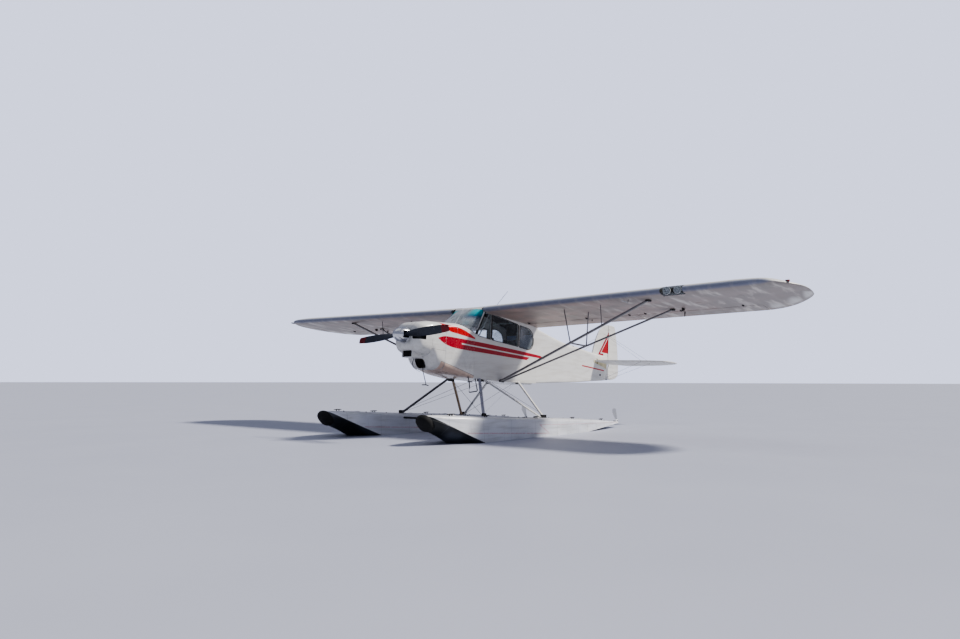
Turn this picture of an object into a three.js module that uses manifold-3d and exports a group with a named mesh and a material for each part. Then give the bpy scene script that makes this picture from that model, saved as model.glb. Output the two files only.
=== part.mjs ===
// Floatplane: a high-wing light aircraft with two seats in tandem, on twin floats.
// Millimetres, +X nose, +Y port, +Z up. The keels rest on Z = 0 and X = 0 is mid-length.
// The airframe has its own group, pitched nose-up, with its origin at the wing's leading edge.
import * as THREE from 'three';
import { mergeVertices } from 'three/addons/utils/BufferGeometryUtils.js';
import Module from 'manifold-3d';

const wasm = await Module();
wasm.setup();

// Driving dimensions
const NOSE_UP = THREE.MathUtils.degToRad(4.3);
const DRAFT = 300;
const LEADING_EDGE = { x: 1508.5, z: 2098 + DRAFT };
const GAP = 0.3;

const WING = {
  rootY: 360.3, chord: 1600, noseZ: -18, drop: 101, dihedral: Math.tan(THREE.MathUtils.degToRad(0.92)),
  thickness: 0.111, camber: 0.038, camberAt: 0.4, cutX: -1205,
};
const FLAP = { innerY: 420, outerY: 2588, noseX: -1220, hinges: [560, 1680, 2480] };
const AILERON = { innerY: 2604, outerY: 4560, noseX: -1220, hinges: [2760, 3360, 4310] };
const CABIN = { half: 360, wall: 25, frontX: 140, rearX: -1619.7 };
const THRUST = { x: 1437, z: -620, radius: 985, bladeUp: THREE.MathUtils.degToRad(3.6) };
const TAIL = {
  elevatorAxisX: -4796, elevatorInnerY: 62, stabilizerZ: -475, tubeRadius: 11, rudderAxisX: -4830,
  rudderHinges: [300, -120, -700], elevatorHinges: [300, 850, 1400],
};
const HINGE = { half: 4, play: 0.5, round: 9, room: 15 };
const TRACK = 2170;

// Looks: name, colour, roughness, metalness
const PAINT = {
  white: [0xeeeeea, 0.35, 0], red: [0xc4161c, 0.35, 0], charcoal: [0x2b2d31, 0.5, 0],
  black: [0x17181a, 0.6, 0], metal: [0xb9bcc0, 0.35, 0.9], blade: [0x3f464e, 0.4, 0.3],
  glass: [0xa9c6cc, 0.08, 0], fabric: [0x55555a, 0.9, 0], engine: [0x6b6d70, 0.6, 0.6],
  lining: [0x3a3b3d, 0.9, 0],
};
const finishes = Object.fromEntries(Object.entries(PAINT).map(([name, [color, roughness, metalness]]) => [
  name, new THREE.MeshStandardMaterial({ name, color, roughness, metalness }),
]));

const floatplane = new THREE.Group();
const airframe = new THREE.Group();
airframe.position.set(LEADING_EDGE.x, 0, LEADING_EDGE.z);
airframe.rotation.y = -NOSE_UP;
airframe.updateMatrixWorld();
const gear = new THREE.Group();
gear.position.set(LEADING_EDGE.x, 0, 0);
gear.updateMatrixWorld();
floatplane.add(airframe, gear);

function add(group, name, finish, geometry) {
  const mesh = new THREE.Mesh(geometry, finishes[finish]);
  mesh.name = name;
  group.add(mesh);
  return geometry;
}

// Booleans
function solid(geometry) {
  const bare = geometry.clone();
  bare.deleteAttribute('normal');
  bare.deleteAttribute('uv');
  const welded = mergeVertices(bare, 1e-3);
  const corners = welded.index.array;
  const triVerts = [];
  for (let i = 0; i < corners.length; i += 3) {
    const [a, b, c] = corners.slice(i, i + 3);
    if (a !== b && b !== c && c !== a) triVerts.push(a, b, c);
  }
  return new wasm.Manifold(new wasm.Mesh({
    numProp: 3,
    vertProperties: Float32Array.from(welded.attributes.position.array),
    triVerts: Uint32Array.from(triVerts),
  }));
}

function geometryOf(manifold) {
  const { vertProperties, triVerts } = manifold.getMesh();
  const geometry = new THREE.BufferGeometry();
  geometry.setAttribute('position', new THREE.BufferAttribute(vertProperties, 3));
  geometry.setIndex(new THREE.BufferAttribute(triVerts, 1));
  geometry.computeVertexNormals();
  return geometry;
}

const cut = (base, ...tools) => geometryOf(tools.reduce((left, tool) => left.subtract(solid(tool)), solid(base)));
const join = (first, ...others) => geometryOf(others.reduce((sum, other) => sum.add(solid(other)), solid(first)));
const common = (first, second) => geometryOf(solid(first).intersect(solid(second)));
const moved = (geometry, x, y, z) => geometry.clone().translate(x, y, z);

// Shapes
function box([x0, x1], [y0, y1], [z0, z1]) {
  return new THREE.BoxGeometry(x1 - x0, y1 - y0, z1 - z0)
    .translate((x0 + x1) / 2, (y0 + y1) / 2, (z0 + z1) / 2);
}

function flippedIfInsideOut(positions, triangles) {
  const [a, b, c] = [new THREE.Vector3(), new THREE.Vector3(), new THREE.Vector3()];
  let volume = 0;
  for (const [i, j, k] of triangles) {
    volume += a.copy(positions[i]).dot(b.copy(positions[j]).cross(c.copy(positions[k])));
  }
  return volume < 0 ? triangles.map(([i, j, k]) => [i, k, j]) : triangles;
}

// A solid through sections, each a ring of like-numbered points on one plane
function loft(sections) {
  const count = sections[0].length;
  const positions = sections.flat();
  const triangles = [];
  for (let s = 0; s + 1 < sections.length; s++) {
    for (let i = 0; i < count; i++) {
      const [a, b] = [s * count + i, s * count + (i + 1) % count];
      triangles.push([a, b, b + count], [a, b + count, a + count]);
    }
  }
  const caps = [[0, true], [sections.length - 1, false]];
  for (const [index, reversed] of caps) {
    for (const [i, j, k] of capTriangles(sections[index])) {
      const start = index * count;
      triangles.push(reversed ? [start + i, start + k, start + j] : [start + i, start + j, start + k]);
    }
  }
  const faces = flippedIfInsideOut(positions, triangles);
  const geometry = new THREE.BufferGeometry();
  geometry.setAttribute('position', new THREE.Float32BufferAttribute(positions.flatMap((p) => [p.x, p.y, p.z]), 3));
  geometry.setIndex(faces.flat());
  geometry.computeVertexNormals();
  return geometry;
}

function capTriangles(ring) {
  const normal = new THREE.Vector3();
  ring.forEach((point, i) => normal.add(point.clone().cross(ring[(i + 1) % ring.length])));
  const across = [0, 1, 2].sort((p, q) => Math.abs(normal.getComponent(p)) - Math.abs(normal.getComponent(q)));
  const [u, v] = across;
  const flat = ring.map((point) => new THREE.Vector2(point.getComponent(u), point.getComponent(v)));
  const turn = Math.sign(THREE.ShapeUtils.area(flat));
  return THREE.ShapeUtils.triangulateShape(flat, []).map(([i, j, k]) => {
    const area = THREE.ShapeUtils.area([flat[i], flat[j], flat[k]]);
    return Math.sign(area) === turn ? [i, j, k] : [i, k, j];
  });
}

// A tube of oval section between two points, its wide side towards X
function strut(from, to, wide, thin, sides = 10) {
  const [start, end] = [new THREE.Vector3(...from), new THREE.Vector3(...to)];
  const along = end.clone().sub(start).normalize();
  const chordwise = new THREE.Vector3(1, 0, 0).addScaledVector(along, -along.x).normalize();
  const across = along.clone().cross(chordwise);
  const ring = (centre) => Array.from({ length: sides }, (_, i) => {
    const angle = (2 * Math.PI * i) / sides;
    return centre.clone()
      .addScaledVector(chordwise, (wide / 2) * Math.cos(angle))
      .addScaledVector(across, (thin / 2) * Math.sin(angle));
  });
  return loft([ring(start), ring(end)]);
}

// A round bar along a bent line of points
function bentBar(points, radius, sides = 8) {
  const bars = points.slice(1).map((point, i) => strut(points[i], point, 2 * radius, 2 * radius, sides));
  const elbows = points.slice(1, -1).map((point) => new THREE.SphereGeometry(radius * 1.02, sides, 6).translate(...point));
  return join(...bars, ...elbows);
}

// A plate in the X-Z plane, from its outline, between two Y planes
function plate(outline, yLow, yHigh) {
  return new THREE.ExtrudeGeometry(outline, { depth: yHigh - yLow, bevelEnabled: false, curveSegments: 6 })
    .rotateX(Math.PI / 2)
    .translate(0, yHigh, 0);
}

const polygon = (points) => new THREE.Shape(points.map(([x, z]) => new THREE.Vector2(x, z)));

// A piece that fits its hole, smaller by the gap all round
function paneIn(outline, yLow, yHigh) {
  const pane = plate(outline, yLow, yHigh);
  pane.computeBoundingBox();
  const centre = pane.boundingBox.getCenter(new THREE.Vector3());
  const size = pane.boundingBox.getSize(new THREE.Vector3());
  const shrink = (length) => 1 - (4 * GAP) / length;
  return pane.translate(-centre.x, 0, -centre.z).scale(shrink(size.x), 1, shrink(size.z)).translate(centre.x, 0, centre.z);
}

// Fuselage sections
function bodySection(x, half, top, bottom, crownWidth, crownHeight, heel) {
  const steps = 4;
  const corner = (centreY, centreZ, radiusY, radiusZ, startAngle) => Array.from({ length: steps + 1 }, (_, i) => {
    const angle = startAngle + (Math.PI / 2) * (i / steps);
    return new THREE.Vector3(x, centreY + radiusY * Math.cos(angle), centreZ + radiusZ * Math.sin(angle));
  });
  return [
    ...corner(half - crownWidth, top - crownHeight, crownWidth, crownHeight, 0),
    ...corner(crownWidth - half, top - crownHeight, crownWidth, crownHeight, Math.PI / 2),
    ...corner(heel - half, bottom + heel, heel, heel, Math.PI),
    ...corner(half - heel, bottom + heel, heel, heel, 1.5 * Math.PI),
  ];
}

// Columns: x, half width, top, bottom, crown width, crown height, heel radius
const REAR_FUSELAGE = [
  [-1620, 358, -58, -1141, 335, 110, 30],
  [-2235, 325, -160, -1083, 302, 110, 28],
  [-2820, 276, -231, -1036, 254, 105, 26],
  [-3250, 233, -248, -998, 212, 92, 24],
  [-3880, 165, -292, -930, 146, 76, 20],
  [-4450, 92, -309, -873, 78, 52, 15],
  [-4765, 40, -318, -836, 24, 24, 10],
];
const NOSE = [
  [834, 338, -345, -1104, 150, 105, 110],
  [985, 328, -356, -1102, 155, 110, 116],
  [1100, 321, -363, -926, 158, 113, 118],
  [1148, 318, -367, -905, 160, 115, 120],
  [1310, 288, -408, -868, 160, 120, 130],
  [1372, 245, -455, -828, 170, 130, 140],
  [1392, 205, -490, -790, 170, 130, 130],
];
const BOOT = [
  [140, 358, -318, -1188, 120, 90, 30],
  [560, 354, -326, -1160, 130, 95, 98],
  [828, 338, -345, -1104, 150, 105, 110],
];
const bodyLoft = (table) => loft(table.map((row) => bodySection(...row)));
const inset = (table, wall) => table.map(([x, half, top, bottom, crownWidth, crownHeight, heel]) => [
  x, half - wall, top - wall, bottom + wall, crownWidth - wall, crownHeight - wall, Math.max(heel - wall, 4),
]);

// The value of one column of a table at x
function columnAt(table, column, x) {
  const rows = [...table].sort((p, q) => p[0] - q[0]);
  const next = rows.findIndex((row) => row[0] >= x);
  const [before, after] = [rows[Math.max(next - 1, 0)], rows[next < 0 ? rows.length - 1 : next]];
  const share = after[0] === before[0] ? 0 : (x - before[0]) / (after[0] - before[0]);
  return before[column] + share * (after[column] - before[column]);
}

// Wing sections
function airfoil(t, side) {
  const { thickness, camber, camberAt } = WING;
  const half = 5 * thickness * (0.2969 * Math.sqrt(t) - 0.126 * t - 0.3516 * t ** 2 + 0.2843 * t ** 3 - 0.1015 * t ** 4);
  const line = t < camberAt
    ? (camber / camberAt ** 2) * (2 * camberAt * t - t ** 2)
    : (camber / (1 - camberAt) ** 2) * (1 - 2 * camberAt + 2 * camberAt * t - t ** 2);
  return line + side * half;
}

// Height of the wing's skin at x, in the root's section or a station's
function wingZ(x, y, side, leadX = 0, tailX = -WING.chord, thin = 1) {
  const chord = leadX - tailX;
  const t = THREE.MathUtils.clamp((leadX - x) / chord, 0, 1);
  const chordLine = WING.noseZ + (x * WING.drop) / WING.chord;
  return chordLine + Math.abs(y) * WING.dihedral + chord * thin * airfoil(t, side);
}

function wingRing(y, leadX, tailX, thin, aftX, steps = 9) {
  const reach = leadX - Math.max(tailX, aftX);
  const stations = Array.from({ length: steps + 1 }, (_, i) => leadX - reach * (1 - Math.cos((Math.PI / 2) * (i / steps))));
  const point = (x, side) => new THREE.Vector3(x, y, wingZ(x, y, side, leadX, tailX, thin));
  return [
    ...stations.map((x) => point(x, 1)).reverse(),
    ...stations.slice(1).map((x) => point(x, -1)),
  ];
}

// Wing planform. Columns: y, leading edge x, trailing edge x, thinness, skin ends at x
const FULL = -WING.chord - 1;
const WING_STATIONS = [
  [WING.rootY, 0, -WING.chord, 1, FULL],
  [FLAP.innerY - 8.5, 0, -WING.chord, 1, FULL],
  [FLAP.innerY - 8, 0, -WING.chord, 1, WING.cutX],
  [AILERON.outerY + 8, 0, -WING.chord, 1, WING.cutX],
  [AILERON.outerY + 8.5, 0, -WING.chord, 1, FULL],
  [4680, 0, -1568, 0.98, FULL],
  [4800, 0, -1520, 0.94, FULL],
  [4930, -6, -1440, 0.88, FULL],
  [5040, -55, -1345, 0.8, FULL],
  [5140, -150, -1235, 0.7, FULL],
  [5240, -265, -1105, 0.6, FULL],
  [5315, -390, -980, 0.48, FULL],
  [5355, -505, -870, 0.38, FULL],
  [5370, -610, -745, 0.3, FULL],
];

// The hinge axis of a flap or an aileron is the centre of its round nose
function noseCentre(y, noseX) {
  const depth = (wingZ(noseX - 40, y, 1) - wingZ(noseX - 40, y, -1)) / 2;
  const x = noseX - depth;
  return { depth, centre: new THREE.Vector3(x, y, (wingZ(x, y, 1) + wingZ(x, y, -1)) / 2) };
}

function controlRing(y, noseX, steps = 6) {
  const { depth, centre } = noseCentre(y, noseX);
  const stations = [-WING.chord, -1500, -1380];
  const nose = Array.from({ length: steps + 1 }, (_, i) => {
    const angle = Math.PI / 2 - (Math.PI * i) / steps;
    return new THREE.Vector3(centre.x + depth * Math.cos(angle), y, centre.z + depth * Math.sin(angle));
  });
  return [
    ...stations.map((x) => new THREE.Vector3(x, y, wingZ(x, y, 1))),
    ...nose,
    ...[...stations].reverse().map((x) => new THREE.Vector3(x, y, wingZ(x, y, -1))),
  ];
}

const sides = [['port', 1], ['starboard', -1]];
const mirrored = (sections, hand) => sections.map((ring) => ring.map((p) => new THREE.Vector3(p.x, p.y * hand, p.z)));

// A hinge: an arm from the fixed piece with a wider round boss on the axis, and the slot that it needs
const hingeArm = ({ x, y, z }, fromX) => join(
  box([x, fromX], [y - HINGE.half / 2, y + HINGE.half / 2], [z - HINGE.round, z + HINGE.round]),
  new THREE.CylinderGeometry(HINGE.round, HINGE.round, 2 * HINGE.half, 12).translate(x, y, z),
);
const hingeSlot = ({ x, y, z }) => box(
  [x - HINGE.room, x + 80], [y - HINGE.half - HINGE.play, y + HINGE.half + HINGE.play], [z - 80, z + 80],
);

// Wings, flaps and ailerons
const hingePoints = (surface, hand) => surface.hinges.map((y) => {
  const { centre } = noseCentre(y, surface.noseX);
  return { x: centre.x, y: hand * y, z: centre.z };
});
const wingArms = (hand) => [FLAP, AILERON].flatMap((surface) => (
  hingePoints(surface, hand).map((point) => hingeArm(point, WING.cutX + 10))
));
const LIGHT_BAY = { y: [3560, 3890], x: [-150, 60] };
const wings = {};
for (const [side, hand] of sides) {
  const whole = loft(mirrored(WING_STATIONS.map((row) => wingRing(...row)), hand));
  wings[side] = whole;
  if (side === 'port') {
    const bay = box(LIGHT_BAY.x, LIGHT_BAY.y, [-200, 300]);
    const lens = box([LIGHT_BAY.x[0] + GAP, LIGHT_BAY.x[1]], LIGHT_BAY.y.map((y, i) => y + (i ? -GAP : GAP)), [-200, 300]);
    add(airframe, 'wing_port', 'white', cut(join(whole, ...wingArms(hand)), bay));
    add(airframe, 'landing_light', 'glass', common(whole, lens));
  } else {
    add(airframe, 'wing_starboard', 'white', join(whole, ...wingArms(hand)));
  }
  for (const [name, surface] of [['flap', FLAP], ['aileron', AILERON]]) {
    const rings = [surface.innerY, surface.outerY].map((y) => controlRing(y, surface.noseX));
    add(airframe, `${name}_${side}`, 'white', cut(loft(mirrored(rings, hand)), ...hingePoints(surface, hand).map(hingeSlot)));
  }
}

// Rear fuselage, a closed solid
const rear = add(airframe, 'fuselage_rear', 'white', bodyLoft(REAR_FUSELAGE));

// Cabin: side walls with their windows, floor, roof
const roofZ = (x) => wingZ(THREE.MathUtils.clamp(x, -WING.chord + 1, -2), 0, 1) - 4;
const roofStations = Array.from({ length: 9 }, (_, i) => -100 + (CABIN.rearX + 100) * (i / 8));
const WINDOW_TOP = [[-117, -22], [-262, -62], [-1010, -138]];
const windowTop = (x) => columnAt(WINDOW_TOP, 1, x);
const WINDOWS = {
  front: polygon([[98, -440], [-105, windowTop(-105)], [-248, windowTop(-248)], [-254, -492], [60, -470]]),
  middle: polygon([[-282, windowTop(-282)], [-1005, windowTop(-1005)], [-1030, -528], [-290, -498]]),
  rear: new THREE.Shape()
    .moveTo(-1070, -145)
    .lineTo(-1290, -165)
    .bezierCurveTo(-1560, -190, -1560, -540, -1330, -552)
    .lineTo(-1080, -536)
    .closePath(),
};
const wallOutline = polygon([
  [CABIN.frontX - GAP, -458], [CABIN.frontX - GAP, -1187], [-600, -1187], [CABIN.rearX, -1140],
  ...[...roofStations].reverse().map((x) => [x, roofZ(x)]),
]);
const DOOR = { front: -272, rear: -1048, top: -150, split: -505, bottom: -985 };
const wallY = [CABIN.half - CABIN.wall, CABIN.half];
const glassY = [CABIN.half - 16, CABIN.half - 10];
const doorHole = polygon([[DOOR.front, DOOR.top], [DOOR.rear, DOOR.top], [DOOR.rear, DOOR.bottom], [DOOR.front, DOOR.bottom]]);
const through = [-500, 500];

add(airframe, 'cabin_side_port', 'white', cut(
  plate(wallOutline, ...wallY), ...Object.values(WINDOWS).map((outline) => plate(outline, ...through)),
));
for (const [name, outline] of Object.entries(WINDOWS)) {
  add(airframe, `window_port_${name}`, 'glass', paneIn(outline, ...glassY));
}
// Door hinges: knuckles on the wall and on the leaf, on one axis outside the skin
const DOOR_HINGES = { axisY: -368, radius: 7, length: 26, upperZ: -148, lowerZ: -987, x: [-340, -980] };
const knuckle = (x, z) => new THREE.CylinderGeometry(DOOR_HINGES.radius, DOOR_HINGES.radius, DOOR_HINGES.length, 10)
  .rotateZ(Math.PI / 2)
  .translate(x, DOOR_HINGES.axisY, z);
function leafKnuckle(x, z, towards) {
  const half = DOOR_HINGES.length / 2;
  const reach = (near, far) => [z + towards * near, z + towards * far].sort((p, q) => p - q);
  return join(
    knuckle(x, z), box([x - half, x + half], [-370, -363], reach(0, 36)), box([x - half, x + half], [-364, -359], reach(12, 36)),
  );
}
const pitch = DOOR_HINGES.length / 2 + HINGE.play;
const wallKnuckles = DOOR_HINGES.x.flatMap((x) => [[DOOR_HINGES.upperZ, 28], [DOOR_HINGES.lowerZ, -28]].map(([z, reach]) => join(
  knuckle(x - pitch, z),
  box([x - 2 * pitch + 1, x - 1], [-368, -359], [z, z + reach].sort((p, q) => p - q)),
)));
add(airframe, 'cabin_side_starboard', 'white', join(cut(
  plate(wallOutline, -wallY[1], -wallY[0]), plate(WINDOWS.front, ...through), plate(WINDOWS.rear, ...through),
  plate(doorHole, ...through),
), ...wallKnuckles));
for (const name of ['front', 'rear']) {
  add(airframe, `window_starboard_${name}`, 'glass', paneIn(WINDOWS[name], -glassY[1], -glassY[0]));
}
const doorGap = 6;
const doorLeaf = (top, bottom) => polygon([
  [DOOR.front - doorGap, top], [DOOR.rear + doorGap, top], [DOOR.rear + doorGap, bottom], [DOOR.front - doorGap, bottom],
]);
const upperLeaf = doorLeaf(DOOR.top - doorGap, DOOR.split + doorGap / 2);
const lowerLeaf = doorLeaf(DOOR.split - doorGap / 2, DOOR.bottom + doorGap);
const doorLight = polygon([
  [DOOR.front - 40, DOOR.top - 40], [DOOR.rear + 40, DOOR.top - 40], [DOOR.rear + 40, DOOR.split + 35], [DOOR.front - 40, DOOR.split + 35],
]);
add(airframe, 'door_upper', 'white', join(
  cut(plate(upperLeaf, -wallY[1], -wallY[0]), plate(doorLight, ...through)),
  ...DOOR_HINGES.x.map((x) => leafKnuckle(x + pitch, DOOR_HINGES.upperZ, -1)),
));
add(airframe, 'window_door', 'glass', paneIn(doorLight, -glassY[1], -glassY[0]));
add(airframe, 'door_lower', 'white', join(
  plate(lowerLeaf, -wallY[1], -wallY[0]),
  ...DOOR_HINGES.x.map((x) => leafKnuckle(x + pitch, DOOR_HINGES.lowerZ, 1)),
));

const insideY = CABIN.half - CABIN.wall - GAP;
const roofBand = polygon([
  ...roofStations.map((x) => [x, roofZ(x)]),
  ...[...roofStations].reverse().map((x) => [x, roofZ(x) - 14]),
]);
const SKYLIGHT = { x: [-610, -170], y: [-270, 270] };
const roof = plate(roofBand, -insideY, insideY);
add(airframe, 'cabin_roof', 'white', cut(roof, box(SKYLIGHT.x, SKYLIGHT.y, [-200, 300])));
add(airframe, 'skylight', 'glass', common(roof, box(
  [SKYLIGHT.x[0] + GAP, SKYLIGHT.x[1] - GAP], [SKYLIGHT.y[0] + GAP, SKYLIGHT.y[1] - GAP], [-200, 300],
)));
const bellyBand = polygon([
  [CABIN.frontX - GAP, -1187], [-600, -1187], [CABIN.rearX, -1140], [CABIN.rearX, -1122], [-600, -1169], [CABIN.frontX - GAP, -1169],
]);
const FLOOR_Z = -1118;
const floor = box([-1540, 130], [-320, 320], [-1172, FLOOR_Z]);
add(airframe, 'belly', 'white', join(plate(bellyBand, -insideY, insideY), floor));

// Nose: boot cowl with the windshield on it, firewall, cowling, engine
const screenBase = { front: [542, -330], side: [137, -452] };
const screenSlope = (screenBase.front[1] - screenBase.side[1]) / (screenBase.front[0] - screenBase.side[0]);
const aboveScreenLine = plate(polygon([
  [0, screenBase.side[1] - 137 * screenSlope], [900, screenBase.side[1] + 763 * screenSlope], [900, 200], [0, 200],
]), ...through);
const bootHollow = bodyLoft(inset([[100, ...BOOT[0].slice(1)], BOOT[1], [900, ...BOOT[2].slice(1)]], 20));
add(airframe, 'boot_cowl', 'white', cut(bodyLoft(BOOT), bootHollow, aboveScreenLine));
add(airframe, 'firewall', 'metal', loft([828 + GAP, 834 - GAP].map((x) => bodySection(x, ...NOSE[0].slice(1)))));
const cowlHollow = bodyLoft(inset([[800, ...NOSE[0].slice(1)], ...NOSE.slice(1, 5), [1368, ...NOSE[5].slice(1)]], 8));
const crankHole = new THREE.CylinderGeometry(70, 70, 200, 20).rotateZ(Math.PI / 2).translate(THRUST.x - 40, 0, THRUST.z);
const inlets = sides.map(([, hand]) => box([1248, 1500], hand > 0 ? [150, 330] : [-330, -150], [-678, -600]));
// Chin intake with its mouth to the front, and the air outlet in the step behind it
const chin = box([1105, 1345], [-112, 112], [-958, -838]);
const chinMouth = box([1250, 1400], [-98, 98], [-918, -850]);
const cowling = join(bodyLoft(NOSE), chin);
const outletCut = box([900, 1096], [-205, 205], [-1088, -944]);
add(airframe, 'engine_cowling', 'white', cut(cowling, cowlHollow, crankHole, ...inlets, outletCut, chinMouth));
const enginePieces = [
  box([960, 1330], [-230, 230], [-760, -520]),
  new THREE.CylinderGeometry(48, 48, 150, 16).rotateZ(Math.PI / 2).translate(THRUST.x + 3 - GAP - 75, 0, THRUST.z),
  ...sides.flatMap(([, hand]) => [-460, -800].map((z) => strut([820, hand * 250, z], [1000, hand * 150, z < -600 ? -740 : -540], 22, 22))),
];
const exhaust = bentBar([[1030, 60, -740], [1030, 60, -920], [985, 66, -1040]], 26);
add(airframe, 'engine_block', 'engine', cut(join(...enginePieces, exhaust), box([780, 834], [-400, 400], [-1000, 0])));

// Windshield, a curved sheet from the boot cowl to the wing's leading edge
function screenRing(frontX, sideX, frontZ, sideZ, half, sheet = 5, steps = 8) {
  const edge = (inward) => Array.from({ length: steps + 1 }, (_, i) => {
    const angle = -Math.PI / 2 + (Math.PI * i) / steps;
    const along = Math.cos(angle) ** 0.8;
    const x = sideX + (frontX - sideX) * along - inward;
    return new THREE.Vector3(x, (half - inward) * Math.sin(angle), sideZ + (frontZ - sideZ) * along);
  });
  return [...edge(0), ...edge(sheet).reverse()];
}
add(airframe, 'windshield', 'glass', loft([
  screenRing(520, 150, screenBase.front[1] + 5, screenBase.side[1] + 7, 334.5),
  screenRing(8, -92, 8, -15, 334.5),
]));

// Instrument panel and seats
add(airframe, 'instrument_panel', 'black', join(
  box([250, 262], [-336, 336], [-640, -450]), box([250, 262], [-300, 300], [-460, -372]),
));
for (const [name, x, rise] of [['front', -320, 20], ['rear', -1020, 0]]) {
  const cushion = new THREE.BoxGeometry(420, 400, 90).translate(x + 40, 0, -860 + rise);
  const back = new THREE.BoxGeometry(80, 400, 520).rotateY(-0.18).translate(x - 220, 0, -600 + rise);
  const legs = [[-110, -150], [-110, 150], [190, -150], [190, 150]].map(([dx, y]) => (
    box([x + dx - 12, x + dx + 12], [y - 12, y + 12], [FLOOR_Z + GAP, -880 + rise])
  ));
  add(airframe, `seat_${name}`, 'fabric', join(cushion, back, ...legs));
}

// Propeller and spinner
// Columns: radius, blade width, thickness, pitch in degrees
const BLADE = [
  [30, 78, 60, 58], [150, 92, 40, 46], [320, 124, 24, 33], [560, 138, 17, 24],
  [780, 128, 12, 18], [910, 98, 9, 16], [THRUST.radius, 40, 6, 15],
];
function blade(hand) {
  return loft(BLADE.map(([radius, width, thick, pitch]) => {
    const turn = THREE.MathUtils.degToRad(pitch);
    return Array.from({ length: 10 }, (_, i) => {
      const angle = (2 * Math.PI * i) / 10;
      const [chordwise, across] = [(width / 2) * Math.cos(angle), (thick / 2) * Math.sin(angle)];
      const tangent = chordwise * Math.cos(turn) - across * Math.sin(turn);
      const axial = chordwise * Math.sin(turn) + across * Math.cos(turn);
      return new THREE.Vector3(axial, hand * radius, hand * tangent);
    });
  }));
}
const hub = new THREE.CylinderGeometry(62, 62, 84, 20).rotateZ(Math.PI / 2);
const placedPropeller = (geometry) => geometry.rotateX(THRUST.bladeUp).translate(THRUST.x + 45, 0, THRUST.z);
add(airframe, 'propeller', 'blade', placedPropeller(join(hub, blade(1), blade(-1))));
// Spinner wall. Columns: axial distance from the tip, radius
const SPINNER = [[0, 0], [-6, 30], [-28, 62], [-70, 92], [-125, 114], [-200, 126], [-238, 128]];
const spinnerProfile = [
  ...SPINNER.map(([x, r]) => new THREE.Vector2(Math.max(r - 4, 0), x - 6)),
  ...[...SPINNER].reverse().map(([x, r]) => new THREE.Vector2(r, x)),
];
const spinner = new THREE.LatheGeometry(spinnerProfile, 28).rotateZ(-Math.PI / 2);
const TIP_X = THRUST.x + 215;
const backPlate = new THREE.CylinderGeometry(125, 125, 5, 28).rotateZ(Math.PI / 2).translate(-214.8, 0, 0);
const shankSlots = sides.map(([, hand]) => box([-210, -110], hand > 0 ? [60, 200] : [-200, -60], [-52, 52]));
const flangeHole = new THREE.CylinderGeometry(50, 50, 60, 20).rotateZ(Math.PI / 2).translate(-214.8, 0, 0);
add(airframe, 'spinner', 'metal', cut(join(spinner, backPlate), flangeHole, ...shankSlots)
  .rotateX(THRUST.bladeUp).translate(TIP_X, 0, THRUST.z));

// Tail: fin, rudder, stabilizer halves, elevator halves on their common tube
const deckZ = (x) => columnAt(REAR_FUSELAGE, 2, x) + GAP;
const finOutline = new THREE.Shape()
  .moveTo(-4150, deckZ(-4150))
  .quadraticCurveTo(-4240, -60, -4330, 80)
  .quadraticCurveTo(-4470, 330, -4740, 385)
  .lineTo(-4806, 398)
  .lineTo(-4806, -330)
  .lineTo(-4775, -330)
  .lineTo(-4766, -300)
  .lineTo(-4450, deckZ(-4450))
  .closePath();
const rudderPins = TAIL.rudderHinges.map((z) => ({ x: TAIL.rudderAxisX, z }));
const rudderArm = ({ x, z }) => join(
  box([x, -4800], [-HINGE.round, HINGE.round], [z - HINGE.half, z + HINGE.half]),
  new THREE.CylinderGeometry(HINGE.round, HINGE.round, 2 * HINGE.half, 12).rotateX(Math.PI / 2).translate(x, 0, z),
);
const rudderSlot = ({ x, z }) => box(
  [x - HINGE.room, x + 60], [-60, 60], [z - HINGE.half - HINGE.play, z + HINGE.half + HINGE.play],
);
const finWithPost = join(plate(finOutline, -15, 15), box([-4806, -4766], [-11, 11], [-826, -330]));
const tubeHole = new THREE.CylinderGeometry(TAIL.tubeRadius + 5, TAIL.tubeRadius + 5, 100, 12)
  .translate(TAIL.elevatorAxisX, 0, TAIL.stabilizerZ);
add(airframe, 'fin', 'white', cut(join(finWithPost, ...rudderPins.map(rudderArm)), tubeHole));
const rudderOutline = new THREE.Shape()
  .moveTo(-4820, 402)
  .quadraticCurveTo(-5040, 452, -5098, 380)
  .quadraticCurveTo(-5160, 290, -5235, -60)
  .quadraticCurveTo(-5331.5, -560, -5290, -680)
  .quadraticCurveTo(-5200, -800, -4960, -818)
  .lineTo(-4820, -820)
  .closePath();
const tubeRoom = box([-4860, -4700], [-40, 40], [TAIL.stabilizerZ - 75, TAIL.stabilizerZ + 75]);
add(airframe, 'rudder', 'white', cut(plate(rudderOutline, -16, 16), tubeRoom, ...rudderPins.map(rudderSlot)));

const elevatorPins = (hand) => TAIL.elevatorHinges.map((y) => ({
  x: TAIL.elevatorAxisX, y: hand * y, z: TAIL.stabilizerZ,
}));
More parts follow.
